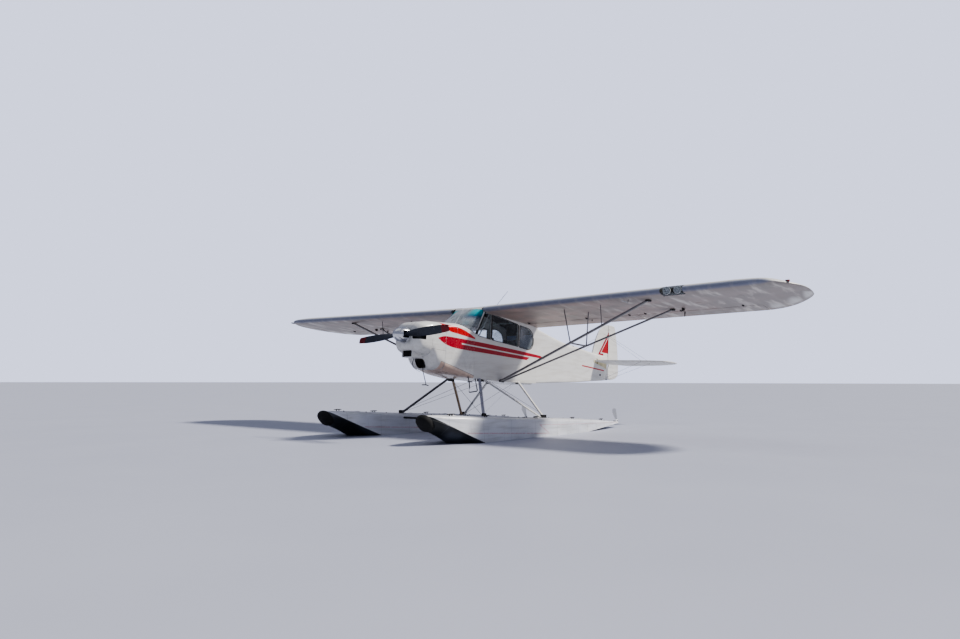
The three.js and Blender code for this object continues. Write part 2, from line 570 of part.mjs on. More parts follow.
// Columns: spanwise y, stabilizer leading edge x
const STABILIZER = [[12, -4020], [600, -4180], [1150, -4330], [1420, -4450], [1560, -4600], [1607, -4775]];
for (const [side, hand] of sides) {
  const outline = new THREE.Shape([
    ...STABILIZER.map(([y, x]) => new THREE.Vector2(x, y)), new THREE.Vector2(-4775, STABILIZER[0][0]),
  ]);
  const slab = new THREE.ExtrudeGeometry(outline, { depth: 34, bevelEnabled: false })
    .translate(0, 0, TAIL.stabilizerZ - 17);
  const flipped = hand < 0 ? reversed(slab.applyMatrix4(new THREE.Matrix4().makeScale(1, -1, 1))) : slab;
  const arms = elevatorPins(hand).map((point) => hingeArm(point, -4770));
  add(airframe, `stabilizer_${side}`, 'white', cut(
    join(flipped, ...arms), moved(rear, 0, hand * GAP, 0), moved(rear, -2 * GAP, hand * GAP, 0),
  ));
}

// Triangles turned over, after a mirror
function reversed(geometry) {
  const flat = geometry.index ? geometry.toNonIndexed() : geometry;
  const position = flat.attributes.position;
  for (let i = 0; i < position.count; i += 3) {
    const [ax, ay, az] = [position.getX(i), position.getY(i), position.getZ(i)];
    position.setXYZ(i, position.getX(i + 1), position.getY(i + 1), position.getZ(i + 1));
    position.setXYZ(i + 1, ax, ay, az);
  }
  return flat;
}

const elevatorOutline = new THREE.Shape()
  .moveTo(-4792, TAIL.elevatorInnerY)
  .lineTo(-4792, 1607)
  .quadraticCurveTo(-4960, 1600, -5060, 1450)
  .quadraticCurveTo(-5220, 1150, -5235, 900)
  .lineTo(-5235, 330)
  .lineTo(-4960, 150)
  .lineTo(-4860, TAIL.elevatorInnerY)
  .closePath();
const elevatorHalf = () => new THREE.ExtrudeGeometry(elevatorOutline, { depth: 28, bevelEnabled: false, curveSegments: 6 })
  .translate(0, 0, TAIL.stabilizerZ - 14);
const halves = { port: elevatorHalf(), starboard: reversed(elevatorHalf().applyMatrix4(new THREE.Matrix4().makeScale(1, -1, 1))) };
for (const [side, hand] of sides) {
  add(airframe, `elevator_${side}`, 'white', cut(halves[side], ...elevatorPins(hand).map(hingeSlot)));
}
const tubeLength = 2 * (TAIL.elevatorInnerY - GAP);
add(airframe, 'elevator_tube', 'metal', new THREE.CylinderGeometry(TAIL.tubeRadius, TAIL.tubeRadius, tubeLength, 12)
  .translate(TAIL.elevatorAxisX, 0, TAIL.stabilizerZ));

// Wing struts, from one fitting on each lower longeron
const FITTING = [-581, 361, -1180];
for (const [side, hand] of sides) {
  const top = (x, y) => [x, hand * y, wingZ(x, y, -1) - 4];
  const foot = [FITTING[0], hand * FITTING[1], FITTING[2]];
  const rearFoot = [foot[0] - 56, foot[1], foot[2]];
  const clearOf = [moved(wings[side], 0, 0, -GAP), box([-900, -300], hand > 0 ? [300, 360 + GAP] : [-360 - GAP, -300], [-1400, -900])];
  const along = (from, to, share) => from.map((value, i) => value + share * (to[i] - value));
  const [frontTop, rearTop] = [top(-265, 3270), top(-1046, 3285)];
  const skin = (x, y) => [x, hand * y, wingZ(x, y, -1) + 20];
  const frontJury = strut(along(foot, frontTop, 0.512), skin(-400, 1730), 26, 18, 8);
  const rearJury = strut(along(rearFoot, rearTop, 0.52), skin(-750, 1970), 26, 18, 8);
  const frontStrut = (wide, thin) => strut(foot, along(foot, frontTop, 1.03), wide, thin);
  const front = cut(join(frontStrut(74, 34), frontJury), ...clearOf);
  const back = cut(join(strut(rearFoot, along(rearFoot, rearTop, 1.03), 58, 28), rearJury), ...clearOf, frontStrut(76, 36));
  add(airframe, `wing_strut_front_${side}`, 'white', front);
  add(airframe, `wing_strut_rear_${side}`, 'white', back);
}

// Floats. Columns: x, keel z, chine z, deck z, half width at the chine, half width at the deck
const STEP_X = -640;
const FLOAT = [
  [2165, 568, 640, 692, 62, 70],
  [2060, 490, 632, 696, 146, 146],
  [1860, 405, 556, 691, 235, 222],
  [1560, 258, 427, 673, 308, 290],
  [1240, 108, 303, 652, 345, 325],
  [900, 20, 237, 635, 360, 345],
  [300, 0, 185, 604, 365, 350],
  [STEP_X, 0, 160, 560, 360, 345],
  [STEP_X - 2, 85, 215, 560, 355, 345],
  [-1500, 185, 290, 516, 310, 300],
  [-2400, 285, 352, 458, 215, 210],
  [-3000, 345, 382, 412, 105, 100],
  [-3165, 365, 390, 402, 60, 56],
];
const KEEL_HALF = 20;
function floatSection(x, keel, chine, deck, chineHalf, deckHalf) {
  const round = Math.min(60, (deck - chine) * 0.45);
  const keelHalf = Math.min(KEEL_HALF, chineHalf / 3);
  const half = [
    [keelHalf, keel], [chineHalf * 0.62, keel + (chine - keel) * 0.52], [chineHalf, chine],
    [deckHalf + (chineHalf - deckHalf) * 0.3, chine + (deck - chine - round) * 0.6],
    [deckHalf, deck - round], [deckHalf - round * 0.3, deck - round * 0.3], [deckHalf - round, deck],
  ];
  return [
    ...half.map(([y, z]) => new THREE.Vector3(x, y, z)),
    ...[...half].reverse().map(([y, z]) => new THREE.Vector3(x, -y, z)),
  ];
}
const floats = {};
for (const [side, hand] of sides) {
  const shell = loft(FLOAT.map((row) => floatSection(...row)));
  const tongue = box([-3222, -3140], [6, 16], [370, 448]);
  const hull = join(shell, tongue).translate(0, (hand * TRACK) / 2, 0);
  floats[side] = hull;
  add(gear, `float_${side}`, 'white', hull);
  const bumper = new THREE.SphereGeometry(82, 18, 12).scale(0.976, 1.4, 1).translate(2150, (hand * TRACK) / 2, 618);
  add(gear, `bow_bumper_${side}`, 'black', cut(bumper, moved(hull, GAP, 0, 0)));
}

// Float struts, bars between the floats, and stay wires
const toGear = airframe.matrixWorld.clone().premultiply(gear.matrixWorld.clone().invert());
const inGear = (point) => new THREE.Vector3(...point).applyMatrix4(toGear).toArray();
const deckAt = (x) => columnAt(FLOAT, 3, x);
const bodyShells = [
  plate(wallOutline, -CABIN.half, CABIN.half), bodyLoft(REAR_FUSELAGE),
].map((geometry) => moved(geometry.applyMatrix4(toGear), 0, 0, -GAP));
const HULL_FITTING = { front: [-40, 330, -1187], rear: [-1095, 330, -1157] };
const FLOAT_FITTING = { front: 640, rear: -990, inboard: 165 };
for (const [side, hand] of sides) {
  const hullPoint = (name, shift = 0) => {
    const [x, y, z] = HULL_FITTING[name];
    return inGear([x + shift, hand * y, z + 25]);
  };
  const deckPoint = (name, shift = 0) => [
    FLOAT_FITTING[name] + shift, hand * (TRACK / 2 - FLOAT_FITTING.inboard), deckAt(FLOAT_FITTING[name]) - 25,
  ];
  const clear = [...bodyShells, moved(floats[side], 0, 0, GAP)];
  const legs = {
    front: strut(hullPoint('front'), deckPoint('front'), 72, 34),
    rear: strut(hullPoint('rear'), deckPoint('rear'), 62, 30),
  };
  const room = [strut(hullPoint('front'), deckPoint('front'), 74, 36), strut(hullPoint('rear'), deckPoint('rear'), 64, 32)];
  for (const [name, leg] of Object.entries(legs)) {
    add(gear, `float_strut_${name}_${side}`, 'white', cut(leg, ...clear));
  }
  const diagonal = strut(hullPoint('front', -60), deckPoint('rear', 60), 58, 28);
  add(gear, `float_strut_diagonal_${side}`, 'white', cut(diagonal, ...clear, ...room));
}
for (const name of ['front', 'rear']) {
  const x = FLOAT_FITTING[name];
  const z = deckAt(x) - 55;
  const bar = strut([x + 90, -TRACK / 2, z], [x + 90, TRACK / 2, z], 50, 32);
  const hulls = [moved(floats.port, 0, -GAP, 0), moved(floats.starboard, 0, GAP, 0)];
  add(gear, `spreader_bar_${name}`, 'charcoal', cut(bar, ...hulls));
}

// Water rudders, standing up at the sterns
for (const [side, hand] of sides) {
  const outline = polygon([[-3216, 392], [-3222, 440], [-3170, 655], [-3075, 655], [-3050, 580], [-3172, 440], [-3180, 392]]);
  const y = (hand * TRACK) / 2;
  add(gear, `water_rudder_${side}`, 'metal', plate(outline, y - 5.3 + GAP, y + 6 - GAP));
}

// Boarding step, a bent rod under the port side
add(gear, 'boarding_step', 'black', cut(bentBar([
  inGear([80, 340, -1170]), inGear([76, 400, -1392]), inGear([286, 400, -1428]), inGear([262, 392, -1290]), inGear([262, 320, -1140]),
], 9), ...bodyShells, moved(bodyLoft(BOOT).applyMatrix4(toGear), 0, 0, -GAP)));

// Whip antenna on the cabin roof
const belowRoof = plate(polygon([
  ...roofStations.map((x) => [x, roofZ(x) + GAP]), [CABIN.rearX, -400], [-100, -400],
]), ...through);
add(airframe, 'antenna', 'black', cut(
  join(strut([-690, 0, roofZ(-690) - 4], [-1130, 0, 525], 9, 9, 8), box([-730, -650], [-22, 22], [0, roofZ(-690) + 12])),
  belowRoof,
));

export default floatplane;
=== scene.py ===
# A white, red-striped floatplane with two seats in tandem, dressed around its CAD frame
import math

import bmesh
import bpy
from mathutils import Matrix, Vector


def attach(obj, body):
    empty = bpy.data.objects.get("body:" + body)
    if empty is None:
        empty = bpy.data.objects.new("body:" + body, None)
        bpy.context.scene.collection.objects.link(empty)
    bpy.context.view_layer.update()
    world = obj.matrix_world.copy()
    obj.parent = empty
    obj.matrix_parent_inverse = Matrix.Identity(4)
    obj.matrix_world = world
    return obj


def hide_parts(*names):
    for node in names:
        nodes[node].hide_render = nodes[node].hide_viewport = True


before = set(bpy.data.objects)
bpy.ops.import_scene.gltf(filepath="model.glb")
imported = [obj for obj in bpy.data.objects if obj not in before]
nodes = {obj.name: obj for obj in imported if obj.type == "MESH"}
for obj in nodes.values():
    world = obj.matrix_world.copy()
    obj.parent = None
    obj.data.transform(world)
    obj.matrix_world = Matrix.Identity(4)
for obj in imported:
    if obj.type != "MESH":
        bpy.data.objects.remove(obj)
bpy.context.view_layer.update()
SIDES = (("port", 1), ("starboard", -1))
ROOT = "airframe_and_floats"

# The airframe's own axes: millimetres aft of, out from and below the wing's leading edge at the root
PITCH = math.radians(4.3)
LEAD_X, LEAD_Z = 1.5085, 2.398
AFT_AXIS = (math.cos(PITCH), 0, math.sin(PITCH))
UP_AXIS = (-math.sin(PITCH), 0, math.cos(PITCH))
FORWARD, SIDE_ON, UP = Vector(AFT_AXIS), Vector((1, 0, 0)), Vector((0, 0, 1))
WATERLINE = 0.3
DIHEDRAL = math.tan(math.radians(0.92))


def air(x, y, z):
    """A point of the airframe, in millimetres, in the part's frame in metres"""
    x, y, z = x / 1000, y / 1000, z / 1000
    return Vector((LEAD_X + x * AFT_AXIS[0] + z * UP_AXIS[0], y, LEAD_Z + x * AFT_AXIS[2] + z * UP_AXIS[2]))


def along_air(x, y=0, z=0):
    """The same as a shift, without a place"""
    return air(x, y, z) - air(0, 0, 0)


def gear(x, y, z):
    """A point of the float gear, in millimetres, in the part's frame in metres"""
    return Vector((LEAD_X + x / 1000, y / 1000, z / 1000))


# Camera, floor and soft light
EYE = Vector((10.6395, 7.928, 1.171))
YAW, CLIMB, ROLL = math.radians(50.132), math.radians(5.009), math.radians(0.098)
LENS, SENSOR = 26.534, 36
# How bright the sky is where the camera sees it, and as light
SKY_SEEN, SKY_LIGHT = 1.35, 0.33


def linked(name, data):
    """An object for a mesh, a lamp or the camera, in the scene"""
    made = bpy.data.objects.new(name, data)
    bpy.context.scene.collection.objects.link(made)
    return made


def place_camera():
    forward = Vector((-math.sin(YAW) * math.cos(CLIMB), -math.cos(YAW) * math.cos(CLIMB), math.sin(CLIMB)))
    right = Vector((-math.cos(YAW), math.sin(YAW), 0))
    up = right.cross(forward)
    turn = Matrix((right, up, -forward)).transposed() @ Matrix.Rotation(ROLL, 3, "Z")
    camera = linked("camera", bpy.data.cameras.new("camera"))
    camera.matrix_world = Matrix.Translation(EYE) @ turn.to_4x4()
    camera.data.lens, camera.data.sensor_width = LENS, SENSOR
    camera.data.sensor_fit = "HORIZONTAL"
    camera.data.clip_end = 2000
    bpy.context.scene.camera = camera


def soft_lamp(name, place, spread, power, colour):
    """Light from a broad, far source; spread is how wide it looks, in degrees"""
    lamp = linked(name, bpy.data.lights.new(name, "SUN"))
    lamp.data.angle = math.radians(spread)
    lamp.data.energy = power
    lamp.data.color = colour
    lamp.rotation_euler = (-Vector(place)).to_track_quat("-Z", "Y").to_euler()


def light_sky():
    world = bpy.data.worlds.new("studio")
    world.use_nodes = True
    tree = world.node_tree
    sky = tree.nodes["Background"]
    sky.inputs["Color"].default_value = (0.71, 0.755, 0.98, 1)
    seen = tree.nodes.new("ShaderNodeMapRange")
    seen.inputs["To Min"].default_value, seen.inputs["To Max"].default_value = SKY_LIGHT, SKY_SEEN
    ray = tree.nodes.new("ShaderNodeLightPath")
    tree.links.new(ray.outputs["Is Camera Ray"], seen.inputs["Value"])
    tree.links.new(seen.outputs[0], sky.inputs["Strength"])
    bpy.context.scene.world = world


place_camera()
soft_lamp("key_lamp", (-9, 8, 12), 7, 4.6, (1, 0.95, 0.89))
soft_lamp("top_lamp", (2, -3, 14), 50, 0.25, (1, 0.99, 0.97))
light_sky()
bpy.context.scene.view_settings.look = "AgX - Medium High Contrast"


# Materials, written as expressions on sockets
def srgb(*values):
    """A colour given as it looks on a screen, 0 to 255, as the shader's linear one"""
    return tuple((v / 255 / 12.92 if v <= 10 else ((v / 255 + 0.055) / 1.055) ** 2.4) for v in values) + (1,)


class Link:
    """The output of a node, with arithmetic"""

    def __init__(self, finish, socket):
        self.finish, self.socket = finish, socket

    def maths(self, operation, *values):
        return self.finish.node("ShaderNodeMath", {"operation": operation}, dict(enumerate(values)))

    def __add__(self, other):
        return self.maths("ADD", self, other)

    __radd__ = __add__

    def __sub__(self, other):
        return self.maths("SUBTRACT", self, other)

    def __rsub__(self, other):
        return self.maths("SUBTRACT", other, self)

    def __mul__(self, other):
        return self.maths("MULTIPLY", self, other)

    __rmul__ = __mul__

    def __truediv__(self, other):
        return self.maths("DIVIDE", self, other)

    def __pow__(self, other):
        return self.maths("POWER", self, other)

    def __mod__(self, other):
        return self.maths("FLOORED_MODULO", self, other)

    def __abs__(self):
        return self.maths("ABSOLUTE", self)

    def __or__(self, other):
        return self.maths("MAXIMUM", self, other)

    def past(self, edge, soft=0.001):
        """0 below the edge, 1 above it"""
        inputs = {"Value": self - edge, "From Min": -soft, "From Max": soft}
        return self.finish.node("ShaderNodeMapRange", {"interpolation_type": "SMOOTHSTEP"}, inputs)

    def between(self, low, high, soft=0.001):
        return self.past(low, soft) * (1 - self.past(high, soft))

    def near(self, centre, reach, soft=0.001):
        """1 within reach of the centre"""
        return 1 - abs(self - centre).past(reach, soft)

    def line(self, spacing, width, soft=0.001):
        """1 on lines that repeat at a spacing"""
        off = abs((self / spacing + 0.5) % 1 - 0.5) * spacing
        return 1 - off.past(width / 2, soft)


class Finish:
    """A material on Object coordinates, in metres"""

    def __init__(self, name, **constants):
        self.material = bpy.data.materials.new(name)
        self.material.use_nodes = True
        self.tree = self.material.node_tree
        self.shader = self.tree.nodes["Principled BSDF"]
        for key, value in constants.items():
            self.shader.inputs[key.replace("_", " ")].default_value = value
        self.place = self.node("ShaderNodeTexCoord", output="Object")
        self.x, self.y, self.z = (self.node("ShaderNodeSeparateXYZ", inputs={0: self.place}, output=i)
                                  for i in range(3))

    def node(self, kind, settings=None, inputs=None, output=0):
        made = self.tree.nodes.new(kind)
        for key, value in (settings or {}).items():
            setattr(made, key, value)
        for key, value in (inputs or {}).items():
            socket = made.inputs[key] if isinstance(key, int) else next(
                s for s in made.inputs if key in (s.identifier, s.name) and s.enabled)
            if isinstance(value, Link):
                self.tree.links.new(value.socket, socket)
            else:
                socket.default_value = value
        return Link(self, made.outputs[output])

    def along(self, axis, origin=0.0):
        settings = {"operation": "DOT_PRODUCT"}
        return self.node("ShaderNodeVectorMath", settings, {0: self.place, 1: axis}, output="Value") - origin

    def airframe(self):
        """The airframe's own X and Z, in metres"""
        shift = [LEAD_X * a[0] + LEAD_Z * a[2] for a in (AFT_AXIS, UP_AXIS)]
        return self.along(AFT_AXIS, shift[0]), self.along(UP_AXIS, shift[1])

    def mix(self, factor, first, second):
        inputs = {"Factor_Float": factor, "A_Color": first, "B_Color": second}
        return self.node("ShaderNodeMix", {"data_type": "RGBA"}, inputs, output=2)

    def noise(self, scale, detail=3.0, stretch=(1, 1, 1), turn=(0, 0, 0)):
        inputs = {"Vector": self.place, "Scale": stretch, "Rotation": turn}
        place = self.node("ShaderNodeMapping", inputs=inputs)
        return self.node("ShaderNodeTexNoise", inputs={"Vector": place, "Scale": scale, "Detail": detail})

    def wave(self, scale, direction):
        inputs = {"Vector": self.place, "Scale": scale}
        return self.node("ShaderNodeTexWave", {"bands_direction": direction}, inputs, output="Fac")

    def feed(self, socket, value):
        self.tree.links.new(value.socket, self.shader.inputs[socket])

    def surface(self, colour, roughness=None, height=None, metallic=None, coat=None):
        """Height is in millimetres"""
        sockets = {"Base Color": colour, "Roughness": roughness, "Metallic": metallic, "Coat Weight": coat}
        for socket, value in sockets.items():
            if value is not None:
                self.feed(socket, value)
        if height is not None:
            bump = self.node("ShaderNodeBump", inputs={"Height": height, "Distance": 0.001, "Strength": 1.0})
            self.feed("Normal", bump)
        return self.material


def darker(colour, share):
    return tuple(c * share for c in colour[:3]) + (1,)


WHITE, SOILED = srgb(224, 224, 220), srgb(176, 170, 158)
# the third red, the nose panel's, is brighter and more orange: painted sunlight
RED, DARK_RED, SUNLIT_RED = srgb(184, 0, 28), srgb(156, 0, 36), srgb(198, 2, 8)


def aged_white(finish, clean=WHITE, soiled=SOILED, streaks=0.28):
    """White paint with clouding, and dirt drawn out along the airflow"""
    cloud = finish.noise(1.3, 4)
    streak = finish.noise(6, 5, stretch=(0.35, 3, 3))
    colour = finish.mix(cloud.past(0.5, 0.3), clean, darker(clean, 0.965))
    return finish.mix(streak.past(0.56, 0.16) * streaks, colour, soiled)


def stripes(finish):
    """The two red bands along the side, joined in a point at the nose, and the thin one at the tail"""
    x, z = finish.airframe()
    nose = (x - 0.8) | 0.0
    belly = (x - 0.45) | 0.0
    top = x * 0.012 - x * x * 0.007 - 0.5785 - nose * nose * 1.14
    bottom = (belly ** 3) * 0.7 - 0.745
    whole = (top - z).past(0, 0.0015) * (z - bottom).past(0, 0.0015)
    middle = z - x * 0.0125 + 0.6605
    gap = middle.near(0, 0.011, 0.0015) * (1 - x.past(0.475, 0.002))
    upper_end = (x - z * 3.2).past(0.24, 0.003)
    lower_end = (x + z * 1.6).past(-2.5, 0.003)
    upper = middle.past(0, 0.001)
    ends = upper * upper_end + (1 - upper) * lower_end
    thin = (z - x * 0.006).between(-0.634, -0.607, 0.002) * x.between(-4.56, -3.43, 0.004)
    return whole * (1 - gap) * ends | thin


def striped(finish, colour):
    red = finish.mix(finish.noise(3).past(0.5, 0.3), RED, DARK_RED)
    return finish.mix(stripes(finish), colour, red)


def nose_panel(finish):
    """The red panel ahead of the windshield, drawn out to a point; its brighter, more orange red is painted
    sunlight
    """
    x, z = finish.airframe()
    ahead, aft = (x - 0.7) | 0.0, (0.62 - x) | 0.0
    top = x * 0.085 - 0.4503 - aft * aft * 0.38
    bottom = x * 0.082 - 0.5535 + ahead * ahead * 1.6
    return (top - z).past(0, 0.0015) * (z - bottom).past(0, 0.0015) * x.between(0.15, 1.0, 0.002)


def flashed(finish, colour):
    """Two slanted red shapes on the fin with a white line between them"""
    x, z = finish.airframe()
    inward = (x + 4.384) * -0.7769 - (z + 0.319) * 0.6296
    foot = inward.past(0) * z.between(-0.319, -0.268) * x.past(-4.62, 0.002)
    band = inward.between(0, 0.05) | foot
    fat = inward.past(0.068) * z.past(-0.245) * x.past(-4.83, 0.002)
    inside = (z + 0.319).past(0) * (0.25 - z).past(0) * x.past(-4.838)
    colour = finish.mix(band * inside, colour, DARK_RED)
    return finish.mix(fat * inside, colour, srgb(170, 0, 16))


def shaded_underside(finish, colour):
    """The wing's lower side in painted shade, warmer and darker than the top, with lighter streaks of painted
    reflection; its nose is a painted grey-blue sky reflection
    """
    x, z = finish.airframe()
    level = z - abs(finish.y) * DIHEDRAL
    under = (x * 0.0631 - 0.017 - level).past(0, 0.003)
    mottle = finish.noise(3.4, 5, stretch=(1, 0.55, 1))
    # lighter streaks towards the tips: painted reflection
    rubbed = finish.noise(2.6, 6, stretch=(0.7, 2.6, 1), turn=(0, 0, 0.5)).past(0.6, 0.09)
    rubbed = rubbed * abs(finish.y).past(2.0, 1.6)
    # painted shade: a warm, mottled, darker tone for the shaded underside and the warm light reflected onto
    # it, darker still towards the tips
    painted_shade = finish.mix(mottle.past(0.5, 0.16), srgb(170, 146, 136), srgb(136, 122, 114))
    painted_shade = finish.mix(abs(finish.y).past(3.4, 1.6) * 0.7, painted_shade, srgb(134, 130, 126))
    painted_shade = finish.mix(rubbed * 0.8, painted_shade, srgb(214, 208, 200))
    colour = finish.mix(under * 0.92, colour, painted_shade)
    # the nose's grey-blue is a painted sky reflection on its shaded front
    edge = x.past(-0.05, 0.04) * (0.1 - level).past(0, 0.02)
    return finish.mix(edge * 0.85, colour, srgb(118, 126, 148))


def white_fabric(name, ribs=None, underside=False, marks=None):
    """Doped cloth: a faint weave, taped ribs with stitches; ribs are spacing, first one and tape width"""
    finish = Finish(name, Specular_IOR_Level=0.5)
    colour = aged_white(finish)
    # the wing's underside takes painted shade and painted reflection
    if underside:
        colour = shaded_underside(finish, colour)
    weave = finish.wave(420, "X") * finish.wave(420, "Z") + finish.wave(420, "Y")
    height = weave * 0.03 + finish.noise(9, 3) * 0.5 + finish.noise(900, 2) * 0.05
    if ribs:
        spacing, first, width = ribs
        across = abs(finish.y) - first
        tape = across.line(spacing, width, 0.0015)
        stitch = across.line(spacing, 0.006, 0.004) * finish.x.line(0.064, 0.014, 0.004)
        height = height + tape * 0.35 + stitch * 1.1
        colour = finish.mix(tape * 0.1, colour, srgb(190, 184, 176))
    if marks:
        colour = marks(finish, colour)
    return finish.surface(colour, finish.noise(5, 4) * 0.16 + 0.34, height)


def nose_seams(finish):
    """Joints of the cowl's sheets, with their dirt, and the belly panel, whose tan tone is painted reflection
    of warm light on white paint
    """
    x, z = finish.airframe()
    side = abs(finish.y).past(0.16, 0.01)
    heel = z + 1.1742 - x * 0.2135
    seams = heel.near(0, 0.0035, 0.0015) * x.between(0.02, 0.91, 0.002) * side
    seams = seams | x.near(0.832, 0.0028, 0.0012)
    seams = seams | x.near(0.024, 0.0022) * (-0.45 - z).past(0, 0.01)
    seams = seams | x.near(1.119, 0.0022) * (-0.66 - z).past(0, 0.01) * side
    seams = seams | (z - x * 0.02).near(-0.826, 0.0022) * x.between(0.834, 1.119, 0.002) * side
    seams = seams | (z - x * 0.06).near(-0.566, 0.0022) * x.between(0.834, 1.3, 0.002) * side
    return seams, (0.0 - heel).past(0, 0.004) * x.between(0.02, 0.91, 0.002)


def painted_sheet(name, marks=False, colour=WHITE, gloss=0.18):
    """Enamel on aluminium sheet: oil-canning, orange peel"""
    finish = Finish(name, Specular_IOR_Level=0.5, Coat_Roughness=0.08)
    paint = aged_white(finish, clean=colour)
    height = finish.noise(3.2, 2) * 1.6 + finish.noise(240, 2) * 0.03
    if marks:
        # the nose panel's red holds painted sunlight
        paint = finish.mix(nose_panel(finish), striped(finish, paint), SUNLIT_RED)
        seam, belly = nose_seams(finish)
        # the belly's tan is painted reflection: warm light reflected onto white paint
        paint = finish.mix(belly * 0.9, paint, srgb(214, 184, 164))
        paint = finish.mix(seam * 0.75, paint, srgb(66, 62, 60))
        height = height - seam * 1.5
    roughness = finish.noise(14, 4) * 0.2 + gloss
    return finish.surface(paint, roughness, height, coat=finish.noise(2.2).past(0.45, 0.3) * 0.4 + 0.2)


def float_paint():
    """White sides over a charcoal bottom, a red line along them, a grey walkway on deck"""
    finish = Finish("float_paint", Specular_IOR_Level=0.5)
    paint = aged_white(finish, srgb(232, 234, 238), srgb(176, 176, 168), 0.4)
    forward = finish.x - LEAD_X
    outward = abs(abs(finish.y) - 1.085)
    ahead = forward - 1.192
    bottom_edge = ahead * 0.36 + ahead * ahead * 0.09 + 0.286
    charcoal = (bottom_edge - finish.z).past(0, 0.003) * forward.past(1.0, 0.003)
    below = 1 - finish.z.past(0.292, 0.02)
    low = (finish.z - forward * 0.053).near(0.366, 0.009, 0.0015) * forward.between(-0.38, 1.56, 0.003)
    high = (finish.z - forward * 0.032).near(0.497, 0.006, 0.0015) * forward.between(-3.1, -0.12, 0.003)
    slant = (finish.z - forward * 0.58).between(0.556, 0.582, 0.002) * forward.between(-0.36, -0.12, 0.002)
    line = (low | high | slant) * outward.past(0.08, 0.002)
    paint = finish.mix(line * finish.noise(30, 3).past(0.4, 0.2) * 0.42, paint, srgb(196, 96, 102))
    paint = finish.mix(charcoal, paint, srgb(22, 26, 29))
    paint = finish.mix(below * 0.5, paint, srgb(110, 114, 102))
    seam = forward.line(0.62, 0.0035, 0.0015) * (finish.z - 0.2).past(0, 0.02)
    patch = finish.noise(1.1, 3).past(0.52, 0.1)
    paint = finish.mix(seam * 0.5, paint, srgb(96, 98, 102))
    paint = finish.mix(patch * 0.25, paint, srgb(164, 172, 190))
    walk = (0.14 - outward).past(0, 0.002) * forward.between(-0.88, 0.52, 0.003) * finish.z.past(0.46, 0.01)
    grit = finish.noise(420, 3)
    paint = finish.mix(walk, paint, finish.mix(grit.past(0.5, 0.2), srgb(84, 87, 92), srgb(112, 115, 120)))
    height = finish.noise(2.6, 2) * 2.2 + finish.noise(300, 2) * 0.04 - seam * 1.2 + walk * grit * 0.8
    roughness = finish.noise(11, 4) * 0.24 + 0.2 + charcoal * 0.12 + walk * 0.4
    return finish.surface(paint, roughness, height)


def bare_aluminium(name, tone=srgb(196, 198, 202), rough=0.24, stretch=(1, 1, 12)):
    finish = Finish(name)
    brushed = finish.noise(60, 4, stretch=stretch)
    spots = finish.noise(35, 5).past(0.62, 0.05)
    colour = finish.mix(finish.noise(4).past(0.5, 0.3) * 0.6, tone, darker(tone, 0.78))
    colour = finish.mix(spots * 0.25, colour, srgb(120, 116, 108))
    roughness = brushed * 0.16 + rough + spots * 0.2
    height = brushed * 0.08 + finish.noise(3, 2) * 0.6
    return finish.surface(colour, roughness, height, metallic=1 - spots * 0.5)


def plain(name, tone, rough, bump=0.1, scale=180, metallic=0.0, worn=None):
    """A small part's finish: grain, tone that varies, rubbed spots"""
    finish = Finish(name, Metallic=metallic)
    colour = finish.mix(finish.noise(8, 4).past(0.5, 0.25), tone, darker(tone, 0.7))
    if worn:
        colour = finish.mix(finish.noise(45, 6).past(0.63, 0.04) * 0.8, colour, worn)
    roughness = finish.noise(20, 4) * 0.2 + rough
    return finish.surface(colour, roughness, finish.noise(scale, 3) * bump)


def seat_weave():
    finish = Finish("seat_weave", Sheen_Weight=0.3)
    weave = finish.wave(160, "X") * finish.wave(160, "Y") + finish.wave(160, "Z")
    colour = finish.mix(weave.past(0.7, 0.5), srgb(66, 67, 72), srgb(96, 97, 102))
    return finish.surface(colour, finish.noise(12) * 0.1 + 0.8, weave * 0.4 + finish.noise(30, 3) * 0.8)


CLEAR = (0.93, 0.95, 0.96, 1)


def glazing(name, tint=CLEAR, haze=0.05, shine=0.75, band=False):
    """Clear acrylic with a tint, greyed a little by dust; band is the teal one at a windshield's top"""
    finish = Finish(name, Metallic=0.0)
    see_through = finish.node("ShaderNodeBsdfTransparent", inputs={0: tint})
    dust = finish.noise(3.5, 5).past(0.56, 0.2)
    film = finish.mix(dust, srgb(170, 178, 184), srgb(204, 208, 212))
    if band:
        _, z = finish.airframe()
        top = (z + 0.19).past(0, 0.07) * (abs(finish.y) - 0.17).past(0, 0.07)
        teal = finish.mix((z + 0.1).past(0, 0.08), srgb(10, 52, 96), srgb(40, 190, 196))
        film = finish.mix(top, film, teal)
    finish.surface(film, finish.noise(30) * 0.04 + 0.02)
    grazing = finish.node("ShaderNodeLayerWeight", inputs={"Blend": 0.5}, output="Facing")
    factor = grazing ** 3 * shine + haze + dust * haze
    if band:
        factor = factor + top * 0.6
    film_shader = Link(finish, finish.shader.outputs[0])
    shown = finish.node("ShaderNodeMixShader", inputs={0: factor, 1: see_through, 2: film_shader})
    finish.tree.links.new(shown.socket, finish.tree.nodes["Material Output"].inputs["Surface"])
    return finish.material


def blade_paint():
    """Dark grey blades with red tips, chipped here and there"""
    finish = Finish("blade_paint", Metallic=0.25)
    _, z = finish.airframe()
    radius = ((z + 0.62) * (z + 0.62) + finish.y * finish.y) ** 0.5
    tip = radius.past(0.835, 0.0015)
    chips = finish.noise(90, 4).past(0.66, 0.03)
    tone = finish.mix(finish.noise(5, 3).past(0.5, 0.3), srgb(34, 38, 48), srgb(48, 54, 68))
    colour = finish.mix(tip, tone, srgb(112, 6, 22))
    colour = finish.mix(chips * 0.5, colour, srgb(150, 152, 156))
    return finish.surface(colour, finish.noise(12, 4) * 0.16 + 0.26, finish.noise(60, 4) * 0.1)


